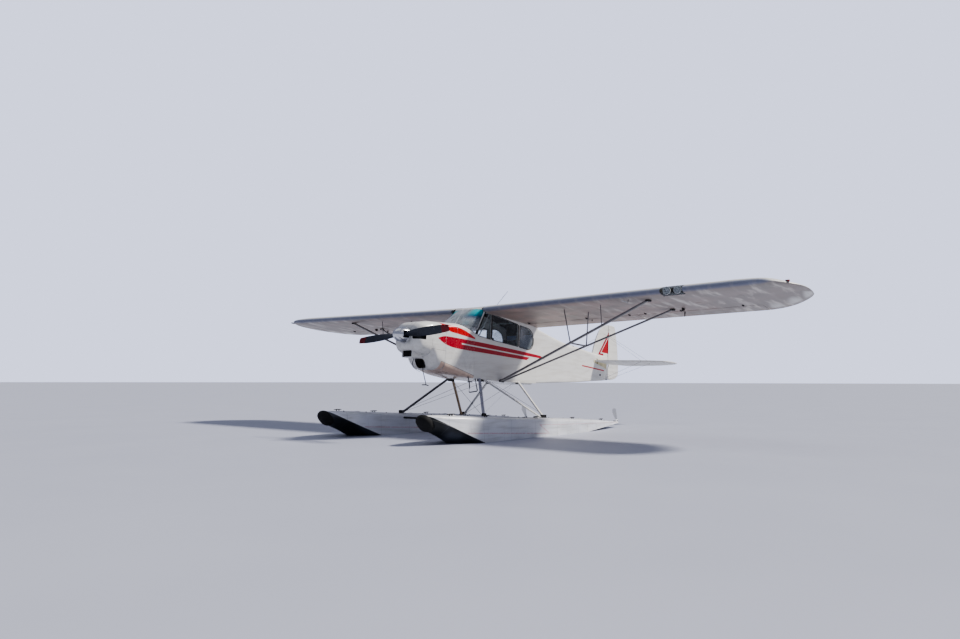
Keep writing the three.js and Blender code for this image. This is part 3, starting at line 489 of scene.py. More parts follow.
M = {
    "wing": white_fabric("wing_fabric", (0.297, 0.4115, 0.05), underside=True),
    "tail": white_fabric("tail_fabric", (0.23, 0.1, 0.04)),
    "upright": white_fabric("fin_fabric", marks=flashed),
    "body": white_fabric("body_fabric", marks=striped),
    "cowl": painted_sheet("striped_enamel", True),
    "sheet": painted_sheet("white_enamel"),
    "float": float_paint(),
    "glass": glazing("clear_acrylic", CLEAR, 0.02, 0.8),
    "screen": glazing("windshield_acrylic", CLEAR, 0.13, 0.8, True),
    # the rear windows get a heavier haze that stands in for light reflected off them: painted reflection
    "rear_glass": glazing("hazed_rear_acrylic", CLEAR, 0.17, 0.8),
    # the bulkhead's blue-grey is lighter than its own tone, standing in for light in the shaded cabin:
    # painted light
    "bulkhead": plain("lightened_blue_grey_vinyl", srgb(178, 196, 236), 0.4, 0.4, 520),
    "skylight": glazing("teal_acrylic", (0.06, 0.42, 0.52, 1), 0.05),
    "metal": bare_aluminium("bare_aluminium"),
    "polished": bare_aluminium("polished_spinner", srgb(224, 226, 230), 0.15, (12, 1, 1)),
    "bars": plain("dark_bars", srgb(52, 55, 62), 0.35, metallic=0.5),
    "engine": plain("engine_metal", srgb(92, 94, 96), 0.55, 0.6, 90, 0.7),
    "black": plain("black_plastic", srgb(24, 24, 26), 0.5, 0.15, 400),
    "steel": plain("black_steel", srgb(30, 31, 34), 0.38, 0.1, 200, 0.2, srgb(110, 104, 98)),
    "strut": painted_sheet("strut_enamel", colour=srgb(112, 110, 112), gloss=0.26),
    # The float legs share one paint: this blue-grey and the near-black below are painted shade on it, and the
    # tan is partly painted sunlight, partly dirt
    "leg": painted_sheet("leg_enamel", colour=srgb(158, 164, 180), gloss=0.24),
    "dark_leg": painted_sheet("dark_leg_enamel", colour=srgb(62, 62, 68), gloss=0.3),
    "tan_leg": painted_sheet("sunlit_dirty_tan_enamel", colour=srgb(168, 142, 110), gloss=0.34),
    "wire": plain("wire_steel", srgb(120, 122, 128), 0.3, 0.1, 300, 0.9),
    "burnt": plain("burnt_steel", srgb(58, 50, 46), 0.5, 0.4, 120, 0.6, srgb(120, 74, 48)),
    "filter": plain("filter_foam", srgb(12, 12, 13), 0.85, 0.8, 260),
    "cover": painted_sheet("hatch_enamel", colour=srgb(206, 208, 210), gloss=0.3),
    "clear": glazing("lamp_cover", (0.97, 0.98, 0.98, 1), 0.01, 0.4),
    "lamp": plain("lamp_reflector", srgb(244, 244, 242), 0.16, 0.02, 60, 0.35),
    "lens": glazing("lamp_lens", (0.93, 0.94, 0.95, 1), 0.12),
    "red_lens": plain("red_lens", srgb(150, 16, 22), 0.08, 0.05, 80),
    "green_lens": plain("green_lens", srgb(14, 110, 60), 0.08, 0.05, 80),
    "rubber": plain("bumper_rubber", srgb(15, 15, 16), 0.7, 0.3, 160),
    "seat": seat_weave(),
    "blade": blade_paint(),
    "trim": plain("black_trim", srgb(22, 22, 24), 0.36, 0.1, 500),
    "lining": plain("brown_lining", srgb(58, 46, 40), 0.85, 0.5, 420),
    "vinyl": plain("grey_vinyl", srgb(120, 118, 116), 0.55, 0.4, 520),
    "carpet": plain("dark_carpet", srgb(50, 50, 54), 0.95, 1.2, 640),
    "primer": plain("tube_primer", srgb(214, 218, 216), 0.42, 0.08, 300, 0.0, srgb(130, 132, 126)),
    # the trim slot covers' cream tone is painted sunlight
    "cream": plain("cream_seal", srgb(226, 216, 178), 0.5, 0.1, 300),
    "chalk": plain("chalk_white", srgb(236, 236, 230), 0.5, 0.05, 300),
}
# The record's slots and the finishes that they hold
SLOTS = {
    "fabric_skin": "wing body upright tail", "blade_metal": "blade", "float_shell": "float",
    "dark_bars": "bars",
    "painted_metal": "cowl sheet primer chalk cover cream strut leg dark_leg tan_leg", "black_steel": "steel",
    "bare_metal": "metal polished wire lamp", "black_plastic": "black filter trim", "engine_metal": "burnt",
    "glazing": "clear screen skylight lens red_lens green_lens", "bumper_rubber": "rubber",
    "seat_cloth": "lining vinyl carpet bulkhead seat",
}
SLOT_OF = {finish: slot for slot, finishes in SLOTS.items() for finish in finishes.split()}
# By the start of a node's name; the longest match counts
CAD_FINISH = {
    "wing_": "wing", "flap_": "wing", "aileron_": "wing", "fuselage_rear": "body", "cabin_side_": "body",
    "window_": "glass", "window_door": "glass", "window_port_rear": "rear_glass",
    "window_starboard_rear": "rear_glass", "door_": "cowl", "cabin_roof": "sheet", "skylight": "skylight",
    "belly": "sheet", "boot_cowl": "cowl", "firewall": "metal", "engine_cowling": "cowl",
    "engine_block": "engine", "windshield": "glass", "landing_light": "glass",
    "instrument_panel": "black", "seat_": "seat",
    "propeller": "blade", "spinner": "polished", "fin": "upright", "rudder": "upright", "stabilizer_": "tail",
    "elevator_": "tail", "elevator_tube": "metal", "wing_strut_": "sheet", "antenna": "black",
    "float_": "float", "bow_bumper_": "rubber", "float_strut_": "sheet", "spreader_bar_": "bars",
    "water_rudder_": "metal",
    "boarding_step": "steel",
}
for name, node in nodes.items():
    key = max((k for k in CAD_FINISH if name.startswith(k)), key=len)
    node.data.materials.clear()
    node.data.materials.append(M[CAD_FINISH[key]])


# Floor at the waterline
FLOOR_REACH = 500


def lay_floor():
    finish = Finish("pale_floor", Specular_IOR_Level=0.3)
    tone = finish.mix(finish.noise(0.7, 2), srgb(176, 180, 194), srgb(182, 186, 200))
    mesh = bpy.data.meshes.new("floor")
    corners = [(a * FLOOR_REACH, b * FLOOR_REACH, WATERLINE) for a, b in ((-1, -1), (1, -1), (1, 1), (-1, 1))]
    mesh.from_pydata(corners, [], [(0, 1, 2, 3)])
    mesh.materials.append(finish.surface(tone, finish.noise(2) * 0.1 + 0.4))
    linked("floor", mesh)


lay_floor()


# Building tools
WELD = 0.00002


def joined(name, shells, index=0):
    """A mesh from shells of points and faces, welded, facing out"""
    build = bmesh.new()
    for points, faces in shells:
        made = [build.verts.new(p) for p in points]
        for face in faces:
            build.faces.new([made[i] for i in face]).material_index = index
    bmesh.ops.remove_doubles(build, verts=build.verts, dist=WELD)
    bmesh.ops.recalc_face_normals(build, faces=build.faces)
    mesh = bpy.data.meshes.new(name)
    build.to_mesh(mesh)
    build.free()
    return mesh


def piece(name, shells, finish, body=ROOT, replaces=(), crease=38, slot=None):
    return placed(name, joined(name, shells), finish, body, replaces, crease, slot)


def hardware(name, shells, body=ROOT):
    """Small parts of black steel"""
    return piece(name, shells, "steel", body, crease=30)


def placed(name, mesh, finish, body=ROOT, replaces=(), crease=38, slot=None, painted=False):
    """A mesh as a piece of the object, on its body; finish is one material's name, or one per face index"""
    mesh.name = name
    finishes = finish if isinstance(finish, tuple) else (finish,)
    if not painted:
        indices = [face.material_index for face in mesh.polygons]
        mesh.materials.clear()
        for material in finishes:
            mesh.materials.append(M[material])
        mesh.polygons.foreach_set("material_index", indices)
    mesh.shade_smooth()
    mesh.set_sharp_from_angle(angle=math.radians(crease))
    made = linked(name, mesh)
    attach(made, body)
    slot or SLOT_OF[finishes[0]]
    if replaces:
        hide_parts(*replaces)
    return made


def loft(rings, caps=True, ring_closed=True, round_trip=False):
    """Faces over rings of equal length"""
    count = len(rings[0])
    points = [p for ring in rings for p in ring]
    faces = []
    for r in range(len(rings) - (0 if round_trip else 1)):
        a, b = r * count, (r + 1) % len(rings) * count
        for i in range(count if ring_closed else count - 1):
            j = (i + 1) % count
            faces.append((a + i, a + j, b + j, b + i))
    if caps:
        faces += [tuple(range(count)), tuple(range(len(points) - 1, len(points) - count - 1, -1))]
    return points, faces


def blended(rows, x, column=0):
    """A row of a table at x, on a smooth curve through its rows"""
    rising = rows if rows[0][column] < rows[-1][column] else rows[::-1]
    k = max(0, min(len(rising) - 2, sum(row[column] <= x for row in rising) - 1))
    p1, p2 = rising[k], rising[k + 1]
    p0, p3 = rising[max(k - 1, 0)], rising[min(k + 2, len(rising) - 1)]
    span = p2[column] - p1[column]
    t = min(max((x - p1[column]) / span, 0), 1)
    result = []
    for a, b, c, d in zip(p0, p1, p2, p3):
        m1 = (c - a) / max(p2[column] - p0[column], 1e-6) * span
        m2 = (d - b) / max(p3[column] - p1[column], 1e-6) * span
        if (c - b) * (b - a) <= 0 and k > 0:
            m1 = 0
        if (c - b) * (d - c) <= 0 and k < len(rising) - 2:
            m2 = 0
        h = t * t * (3 - 2 * t)
        result.append(b * (1 - h) + c * h + m1 * t * (1 - t) ** 2 - m2 * t * t * (1 - t))
    return result


def steps(low, high, count):
    return [low + (high - low) * i / count for i in range(count + 1)]


def box_shell(x, y, z, at=air):
    """A block between limits, for a cutter or a plate"""
    points = [at(a, b, c) for a in x for b in y for c in z]
    return points, [(0, 1, 3, 2), (4, 6, 7, 5), (0, 4, 5, 1), (2, 3, 7, 6), (0, 2, 6, 4), (1, 5, 7, 3)]


def plate_shell(outline, low, high, at):
    """An outline with thickness; at(u, v, w) gives a point"""
    rings = [[at(u, v, w) for u, v in outline] for w in (low, high)]
    return loft(rings)


def lengthwise(u, v, w):
    """Place of a plate that stands along the airframe: outline in X and Z, thickness in Y"""
    return air(u, w, v)


def crosswise(u, v, w):
    """Place of a plate that stands across the airframe: outline in Y and Z, thickness in X"""
    return air(w, u, v)


def final_mesh(made):
    """The object's mesh with its modifiers in it; the object itself goes"""
    bpy.context.view_layer.update()
    evaluated = made.evaluated_get(bpy.context.evaluated_depsgraph_get())
    mesh = bpy.data.meshes.new_from_object(evaluated)
    bpy.data.objects.remove(made)
    return mesh


def cut_out(shells, cutters, wall=0.0):
    """Shells less their cutters, whose faces take material index 1; an open sheet gets a wall first"""
    def loose(name, parts, index):
        mesh = joined(name, parts, index)
        for key in ("black", "steel"):
            mesh.materials.append(M[key])
        return linked(name, mesh)
    base = loose("base", shells, 0)
    if wall:
        thick = base.modifiers.new("wall", "SOLIDIFY")
        thick.thickness, thick.offset = wall, -1
    tools = [loose("cutter", [c], 1) for c in cutters]
    for tool in tools:
        modifier = base.modifiers.new("cut", "BOOLEAN")
        modifier.operation, modifier.object, modifier.solver = "DIFFERENCE", tool, "EXACT"
    mesh = final_mesh(base)
    for tool in tools:
        bpy.data.objects.remove(tool)
    return mesh


class Tree:
    """A Geometry Nodes group built step by step"""

    def __init__(self, name, sizes):
        self.group = bpy.data.node_groups.new(name, "GeometryNodeTree")
        self.group.interface.new_socket("Geometry", in_out="INPUT", socket_type="NodeSocketGeometry")
        for label, value in sizes.items():
            kind = "NodeSocketMaterial" if isinstance(value, bpy.types.Material) else (
                "NodeSocketInt" if isinstance(value, int) else "NodeSocketFloat")
            self.group.interface.new_socket(label, in_out="INPUT", socket_type=kind)
        self.group.interface.new_socket("Geometry", in_out="OUTPUT", socket_type="NodeSocketGeometry")
        self.sizes = sizes
        self.start = self.group.nodes.new("NodeGroupInput")

    def size(self, label):
        return self.start.outputs[label]

    def node(self, kind, settings=None, inputs=None, output=0):
        made = self.group.nodes.new(kind)
        for key, value in (settings or {}).items():
            setattr(made, key, value)
        for key, value in (inputs or {}).items():
            socket = made.inputs[key] if isinstance(key, int) else next(
                s for s in made.inputs if key in (s.identifier, s.name) and s.enabled)
            if isinstance(value, bpy.types.NodeSocket):
                self.group.links.new(value, socket)
            else:
                socket.default_value = value
        return made.outputs[output]

    def grow(self, mesh, shape):
        """The mesh that this tree makes from a seed mesh"""
        realized = self.node("GeometryNodeRealizeInstances", inputs={0: shape})
        shown = self.node("GeometryNodeSetMaterial", inputs={0: realized, "Material": self.size("Finish")})
        end = self.group.nodes.new("NodeGroupOutput")
        self.group.links.new(shown, end.inputs[0])
        seed = linked("seed", mesh)
        modifier = seed.modifiers.new("tree", "NODES")
        modifier.node_group = self.group
        for item in self.group.interface.items_tree:
            if item.in_out == "INPUT" and item.name in self.sizes:
                modifier[item.identifier] = self.sizes[item.name]
        return final_mesh(seed)


def seeds(rows, edges=()):
    """A mesh of loose points, or of a line, with each point's direction as an attribute"""
    mesh = bpy.data.meshes.new("seeds")
    mesh.from_pydata([tuple(p) for p, _ in rows], edges, [])
    facing = mesh.attributes.new("facing", "FLOAT_VECTOR", "POINT")
    facing.data.foreach_set("vector", [c for _, n in rows for c in n])
    return mesh


def rivets(name, rows, finish, radius=0.0026, height=0.0012, sides=6):
    """Round heads on a surface, one at each point, along its normal"""
    tree = Tree(name, {"Radius": radius, "Height": height, "Sides": sides, "Finish": M[finish]})
    head = tree.node("GeometryNodeMeshCone", {"fill_type": "NGON"}, {
        "Vertices": tree.size("Sides"), "Radius Top": radius * 0.45, "Radius Bottom": tree.size("Radius"),
        "Depth": tree.size("Height")})
    facing = tree.node("GeometryNodeInputNamedAttribute", {"data_type": "FLOAT_VECTOR"}, {"Name": "facing"})
    turn = tree.node("FunctionNodeAlignRotationToVector", {"axis": "Z"}, {"Vector": facing})
    heads = tree.node("GeometryNodeInstanceOnPoints", inputs={
        "Points": tree.node("GeometryNodeMeshToPoints", inputs={0: tree.start.outputs[0]}),
        "Instance": head, "Rotation": turn})
    return placed(name, tree.grow(seeds(rows), heads), finish, painted=True)


def tubes(name, runs, finish, wide, thin, sides=20, shape="drop", replaces=()):
    """Streamlined or round tubes along runs of points, each with the direction of the wide side"""
    tree = Tree(name, {"Wide": wide, "Thin": thin, "Finish": M[finish]})
    rows, edges = [], []
    for run in runs:
        edges += [(len(rows) + i, len(rows) + i + 1) for i in range(len(run) - 1)]
        rows += run
    curve = tree.node("GeometryNodeMeshToCurve", inputs={0: tree.start.outputs[0]})
    facing = tree.node("GeometryNodeInputNamedAttribute", {"data_type": "FLOAT_VECTOR"}, {"Name": "facing"})
    turned = tree.node("GeometryNodeSetCurveNormal", {"mode": "FREE"}, {0: curve, "Normal": facing})
    size = {"Resolution": sides, "Radius": 0.5}
    ring = tree.node("GeometryNodeCurvePrimitiveCircle", {"mode": "RADIUS"}, size)
    place = tree.node("GeometryNodeInputPosition")
    xyz = [tree.node("ShaderNodeSeparateXYZ", inputs={0: place}, output=i) for i in range(2)]

    def maths(operation, first, second):
        return tree.node("ShaderNodeMath", {"operation": operation}, {0: first, 1: second})
    along = maths("MULTIPLY", xyz[0], tree.size("Wide"))
    narrow = 1.0
    if shape == "drop":
        narrow = maths("ADD", 1.0, maths("MULTIPLY", xyz[0], 0.9))
    across = maths("MULTIPLY", maths("MULTIPLY", xyz[1], tree.size("Thin")), narrow)
    moved = tree.node("ShaderNodeCombineXYZ", inputs={0: along, 1: across})
    profile = tree.node("GeometryNodeSetPosition", inputs={0: ring, "Position": moved})
    sweep = {0: turned, "Profile Curve": profile, "Fill Caps": True}
    swept = tree.node("GeometryNodeCurveToMesh", inputs=sweep)
    mesh = tree.grow(seeds(rows, edges), swept)
    return placed(name, mesh, finish, replaces=replaces, painted=True)


def round_tubes(name, runs, finish, width, sides=12, replaces=()):
    return tubes(name, runs, finish, width, width, sides, "round", replaces)


# Wings
CHORD, NOSE_Z, DROP = 1600, -18, 101
THICKNESS, CAMBER, CAMBER_AT = 0.111, 0.038, 0.4
HINGE_X, NOSE_RADIUS = -1260.86, 40.86
FLAP, AILERON = (420, 2588, (560, 1680, 2480)), (2604, 4560, (2760, 3360, 4310))
COVE_X = -1205
HINGES = FLAP[2] + AILERON[2]
RIB_FIRST, RIB_PITCH = 411.5, 297
# Columns: y, leading edge x, trailing edge x, share of the full thickness
TIP = [
    (4568.5, 0, -1600, 1), (4680, 0, -1568, 0.98), (4800, 0, -1520, 0.94), (4930, -6, -1440, 0.88),
    (5040, -55, -1345, 0.8), (5140, -150, -1235, 0.7), (5240, -265, -1105, 0.6), (5315, -390, -980, 0.48),
    (5355, -505, -870, 0.38), (5370, -610, -745, 0.12),
]


def airfoil(t, side):
    """Height of the section's skin at a share of its chord, both as shares of the chord"""
    t = min(max(t, 0), 1)
    shape = 0.2969 * math.sqrt(t) - 0.126 * t - 0.3516 * t * t + 0.2843 * t ** 3 - 0.1015 * t ** 4
    half = 5 * THICKNESS * shape
    if t < CAMBER_AT:
        line = CAMBER / CAMBER_AT ** 2 * (2 * CAMBER_AT * t - t * t)
    else:
        line = CAMBER / (1 - CAMBER_AT) ** 2 * (1 - 2 * CAMBER_AT + 2 * CAMBER_AT * t - t * t)
    return line + side * half


def wing_z(x, y, side, lead=0, tail=-CHORD, thin=1):
    share = (lead - x) / (lead - tail)
    return NOSE_Z + x * DROP / CHORD + abs(y) * DIHEDRAL + (lead - tail) * thin * airfoil(share, side)


def sag(x, y, lead=0, tail=-CHORD):
    """How far the cloth sinks between ribs, in millimetres"""
    bay = ((y - RIB_FIRST) / RIB_PITCH) % 1
    aft = min(max((lead - x - 190) / 260, 0), 1) * min(max((x - tail) / 120, 0), 1)
    return 5.5 * 4 * bay * (1 - bay) * aft


def hinge_z(y):
    return -62.22 + abs(y) * DIHEDRAL


def wing_ring(y, hand, lead=0, tail=-CHORD, thin=1, cove=False):
    """A section of the wing; a cove is the hollow ahead of a flap or aileron"""
    def skin(x, side):
        return wing_z(x, y, side, lead, tail, thin) - side * sag(x, y, lead, tail)
    full = tail < COVE_X - 10
    if full:
        front = [lead + (COVE_X - lead) * (i / 26) ** 1.7 for i in range(27)]
    else:
        front = [lead + (tail - lead) * (i / 34) ** 1.5 for i in range(35)]
    halves = []
    for side in (1, -1):
        half = [(x, skin(x, side)) for x in front]
        if cove:
            reach = NOSE_RADIUS + 8
            first = math.acos(26 / reach)
            for i in range(8):
                turn = first * (1 - i / 7)
                x = HINGE_X + reach * math.cos(turn)
                half.append((x, hinge_z(y) + side * reach * math.sin(turn) if i else skin(x, side)))
        elif full:
            half += [(x, skin(x, side)) for x in steps(COVE_X, tail, 8)[1:]]
        halves.append(half)
    ring = halves[0] + halves[1][:0:-1]
    return [air(x, hand * y, z) for x, z in ring]


def even(ring, count):
    """A ring thinned or filled to a number of points"""
    return [ring[round(i * (len(ring) - 1) / (count - 1))] for i in range(count)]


def round_end(x, radius):
    """The round rear end of a hinge arm, from its top to its underside"""
    return [(x - radius * math.sin(a), radius * math.cos(a)) for a in steps(0, math.pi, 10)]


def circle(count, start=0.0):
    return steps(start, start + 2 * math.pi, count)[:-1]


def hinge_arm(y, hand):
    """A hinge's arm and its boss, standing in a slot of the moving surface"""
    def at(u, v, w):
        return air(u, hand * (y + w), v)
    z, radius = hinge_z(y), 9
    outline = [(x, z + up) for x, up in round_end(HINGE_X, radius)]
    outline += [(COVE_X - 1, z - radius), (COVE_X - 1, z + radius)]
    boss = [(HINGE_X + radius * math.cos(a), z + radius * math.sin(a)) for a in circle(16)]
    return [plate_shell(outline, -2, 2, at), plate_shell(boss, -4, 4, at)]


def make_wing(hand):
    rings = [wing_ring(y, hand) for y in (360.3, 385, 411.5)]
    rings += [wing_ring(y, hand, cove=True) for y in steps(412, 4568, 84)]
    tip = []
    for y in steps(4568.5, 5100, 14) + steps(5130, 5370, 16):
        _, lead, tail, thin = blended(TIP, y)
        tip.append(even(wing_ring(y, hand, lead, tail, thin), 69))
    shells = [loft(rings), loft(tip)]
    for y in HINGES:
        shells += hinge_arm(y, hand)
    return shells


def control_ring(y, hand, notched):
    """Section of a flap or aileron: top, round nose, bottom"""
    z0 = hinge_z(y)
    bay = ((y - RIB_FIRST) / RIB_PITCH) % 1
    dip = 2.4 * 4 * bay * (1 - bay)
    backs = steps(-1600, -1290, 7)
    limit = HINGE_X - 15 if notched else 0
    points = [(x, wing_z(x, y, 1) - dip * math.sin(math.pi * (i / 7))) for i, x in enumerate(backs)]
    points += [(HINGE_X + NOSE_RADIUS * math.sin(a), z0 + NOSE_RADIUS * math.cos(a))
               for a in steps(0, math.pi, 14)]
    points += [(x, wing_z(x, y, -1) + dip * math.sin(math.pi * (i / 7))) for i, x in enumerate(backs)][::-1]
    return [air(min(x, limit), hand * y, z) for x, z in points]


def make_control(inner, outer, hinges, hand):
    stations = [(y, False) for y in steps(inner, outer, 42) if all(abs(y - h) > 8 for h in hinges)]
    for h in hinges:
        stations += [(h - 6, False), (h - 5.5, True), (h + 5.5, True), (h + 6, False)]
    return [loft([control_ring(y, hand, notched) for y, notched in sorted(stations)])]


# The light bay in the port leading edge
BAY_Y, BAY_BACK = (3560, 3890), -148
port_wing = cut_out(make_wing(1), [box_shell((BAY_BACK, 90), BAY_Y, (-200, 160))])
placed("wing_skin_port", port_wing, ("wing", "black"), replaces=("wing_port",))
piece("wing_skin_starboard", make_wing(-1), "wing", replaces=("wing_starboard",))
for side, hand in SIDES:
    for name, spec in (("flap", FLAP), ("aileron", AILERON)):
        piece(f"{name}_skin_{side}", make_control(*spec, hand), "wing", f"{name}_{side}_body",
              (f"{name}_{side}",))


# Fuselage aft of the cabin, cloth over stringers
# Columns here and in NOSE and BOOT: x, half width, top z, bottom z, crown width, crown height, heel
REAR_FUSELAGE = [
    (-1620, 358, -58, -1141, 335, 110, 30), (-2235, 325, -160, -1083, 302, 110, 28),
    (-2820, 276, -231, -1036, 254, 105, 26), (-3250, 233, -248, -998, 212, 92, 24),
    (-3880, 165, -292, -930, 146, 76, 20), (-4450, 92, -309, -873, 78, 52, 15),
    (-4765, 40, -318, -836, 24, 24, 10),
]


def body_ring(row, dip=0.0, sides=14):
    """Section with quarter-ellipse shoulders and rounded heels; dip sinks the cloth between stringers"""
    x, half, top, bottom, crown_width, crown_height, heel = row
    right = [(y, top) for y in steps(0, half - crown_width, 2)[:-1]]
    for a in steps(0, math.pi / 2, 12):
        sunk = dip * abs(math.sin(2 * a)) * 0.8
        y = half - crown_width + (crown_width - sunk) * math.sin(a)
        right.append((y, top - crown_height + (crown_height - sunk) * math.cos(a)))
    low, high = bottom + heel, top - crown_height
    for i in range(1, sides):
        share = i / sides
        right.append((half - dip * abs(math.sin(2 * math.pi * share)), high + (low - high) * share))
    right += [(half - heel + heel * math.cos(a), low - heel * math.sin(a)) for a in steps(0, math.pi / 2, 5)]
    right.append(((half - heel) * 0.5, bottom + dip * 0.5))
    right.append((0, bottom))
    ring = right + [(-y, z) for y, z in right[-2:0:-1]]
    return [air(x, y, z) for y, z in ring]


REAR_END, CABIN_END = -4765, -1620


def cloth_dip(x):
    """How far the cloth sinks between stringers: less at the sternpost and at the cabin"""
    return 4.5 * min(1, (x - REAR_END) / 600, (CABIN_END - x) / 200 + 0.2)


tail_rings = [body_ring(blended(REAR_FUSELAGE, x), cloth_dip(x)) for x in steps(REAR_END, CABIN_END, 56)]
piece("rear_body_skin", [loft(tail_rings)], "body", replaces=("fuselage_rear",))


# Cowling
THRUST_Z = -620
NOSE = [
    (834, 338, -345, -1104, 150, 105, 130), (985, 328, -356, -1102, 155, 110, 225),
    (1100, 321, -363, -926, 158, 113, 190), (1148, 318, -367, -905, 160, 115, 150),
    (1310, 288, -408, -868, 160, 120, 130), (1372, 245, -455, -828, 170, 130, 140),
    (1392, 205, -490, -790, 170, 130, 130),
]


def rounded_box(x, y, z, corner, at=air, hollow=0):
    """A duct of rounded section along X; hollow gives its wall"""
    def outline(inset):
        low_y, high_y, low_z, high_z = y[0] + inset, y[1] - inset, z[0] + inset, z[1] - inset
        r = max(corner - inset, 3)
        points = []
        centres = ((high_y - r, high_z - r), (low_y + r, high_z - r),
                   (low_y + r, low_z + r), (high_y - r, low_z + r))
        for k, (cy, cz) in enumerate(centres):
            quarter = steps(k * math.pi / 2, (k + 1) * math.pi / 2, 5)
            points += [(cy + r * math.cos(a), cz + r * math.sin(a)) for a in quarter]
        return points
    rings = [[at(a, u, v) for u, v in outline(0)] for a in x]
    if not hollow:
        return loft(rings)
    rings += [[at(a, u, v) for u, v in outline(hollow)] for a in x[::-1]]
    return loft(rings, caps=False, round_trip=True)


FIREWALL_X, LIP_X = 834, 1392


def make_cowling():
    stations = steps(FIREWALL_X, 978, 6) + steps(986, 1100, 9) + steps(1112, 1300, 9)
    stations += [1316, 1330, 1344, 1356, 1367, 1376, 1384, 1389, LIP_X]
    rings = [body_ring(blended(NOSE, x), 0, 8) for x in stations]
    last = rings[-1]
    centre = air(LIP_X, 0, THRUST_Z)
    for share, forward in ((0.12, 3), (0.35, 5), (0.65, 6), (1, 6)):
        rings.append([p.lerp(centre + (p - centre).normalized() * 0.07, share) + along_air(forward)
                      for p in last])
    inlets = [rounded_box((1248, 1500), limits, (-678, -600), 26) for limits in ((150, 330), (-330, -150))]
    intake = rounded_box((1270, 1440), (-104, 104), (-924, -844), 20)
    outlet = rounded_box((900, 1104), (-104, 104), (-1094, -950), 50)
    return cut_out([loft(rings, caps=False)], inlets + [intake, outlet], wall=0.0025)


placed("cowling_skin", make_cowling(), ("cowl", "black"), replaces=("engine_cowling",), crease=42)


# Propeller and spinner
HUB_X, TIP_X, BLADE_UP = 1482, 1652, math.radians(3.6)
# Columns: radius, width, thickness, pitch in degrees
BLADE = [(30, 78, 60, 58), (150, 92, 40, 46), (320, 124, 24, 33), (560, 138, 17, 24), (780, 128, 12, 18),
         (910, 108, 9, 16), (966, 98, 8, 15), (980, 84, 6, 15), (985, 56, 4, 15)]
# Columns: distance aft of the tip, radius
SPINNER = [(0, 0.5), (2, 14), (6, 27), (28, 61), (70, 92), (125, 114), (200, 126), (238, 128)]


def thrust(x, y, z):
    """A point near the propeller's shaft, turned with the blades"""
    c, s = math.cos(BLADE_UP), math.sin(BLADE_UP)
    return air(x, y * c - z * s, THRUST_Z + y * s + z * c)


def make_blade(hand):
    rings = []
    for radius in steps(52, 900, 22) + [925, 945, 960, 972, 980, 985]:
        _, width, thick, pitch = blended(BLADE, radius)
        turn = math.radians(pitch)
        ring = []
        for a in circle(24):
            chordwise = width / 2 * math.cos(a)
            across = thick / 2 * math.sin(a) * (1.0 if a < math.pi else 0.55) * (1 + 0.35 * math.cos(a))
            tangent = chordwise * math.cos(turn) - across * math.sin(turn)
            axial = chordwise * math.sin(turn) + across * math.cos(turn)
            ring.append(thrust(HUB_X + axial, hand * radius, hand * tangent))
        rings.append(ring)
    return loft(rings)


def lathe(profile, count, at=thrust, **joins):
    """A turned shape; profile rows are a place on its axis and a radius, from one end to the other"""
    rings = [[at(x, r * math.cos(a), r * math.sin(a)) for a in circle(count)] for x, r in profile]
    return loft(rings, **joins)


hub = lathe([(1446, 62), (1450, 66), (1518, 66), (1524, 60)], 32)
piece("blades", [make_blade(1), make_blade(-1), hub], "blade", "propeller_body", ("propeller",))
DEPTHS = [0, 0.6, 1.5, 3, 5, 8, 12, 18] + steps(28, 236, 18) + [238]
smooth = [(TIP_X - d, blended(SPINNER, d)[1]) for d in DEPTHS]
inner = [(x - 3, max(r - 3, 0.4)) for x, r in smooth]
gaps = [box_shell((TIP_X - 214, TIP_X - 106), (58 * h, 200 * h), (-55, 55), thrust) for _, h in SIDES]
spinner_mesh = cut_out([lathe(smooth + [(TIP_X - 236, 124)] + inner[::-1][1:], 64)], gaps)
placed("spinner_shell", spinner_mesh, ("polished", "black"), "propeller_body", ("spinner",), 50)
back_plate = [(TIP_X - 228, 52), (TIP_X - 227, 123), (TIP_X - 233, 123), (TIP_X - 233, 52)]
piece("spinner_back_plate", [lathe(back_plate, 48)], "black", "propeller_body")


# Struts of the wings, streamlined tubes on one fitting at each side
def line(start, end, facing, count=6):
    return [(start.lerp(end, t), facing) for t in steps(0, 1, count)]


def route(points, facing):
    """A tube's run through places on the airframe"""
    return [(air(*p), facing) for p in points]


def wing_lines(hand):
    foot, rear_foot = air(-581, hand * 369, -1176), air(-637, hand * 369, -1176)
    front_top = air(-265, hand * 3270, wing_z(-265, 3270, -1) - 4)
    rear_top = air(-1046, hand * 3285, wing_z(-1046, 3285, -1) - 4)
    return foot, rear_foot, front_top, rear_top


for side, hand in SIDES:
    foot, rear_foot, front_top, rear_top = wing_lines(hand)
    front_run = line(foot, foot.lerp(front_top, 1.004), FORWARD)
    tubes(f"front_strut_{side}", [front_run], "strut", wide=0.074, thin=0.032,
          replaces=(f"wing_strut_front_{side}",))
    rear_run = line(rear_foot, rear_foot.lerp(rear_top, 1.004), FORWARD)
    tubes(f"rear_strut_{side}", [rear_run], "strut", wide=0.058, thin=0.026,
          replaces=(f"wing_strut_rear_{side}",))
    front_mid, rear_mid = foot.lerp(front_top, 0.512), rear_foot.lerp(rear_top, 0.52)
    front_up = air(-400, hand * 1730, wing_z(-400, 1730, -1) + 6)
    rear_up = air(-750, hand * 1970, wing_z(-750, 1970, -1) + 6)
    runs = [line(front_mid, front_up, FORWARD), line(rear_mid, rear_up, FORWARD)]
    runs.append(line(front_mid, rear_mid, UP))
    tubes(f"jury_struts_{side}", runs, "strut", wide=0.026, thin=0.014)


# Floats
FLOAT_Y, STEP_X = 1085, -641
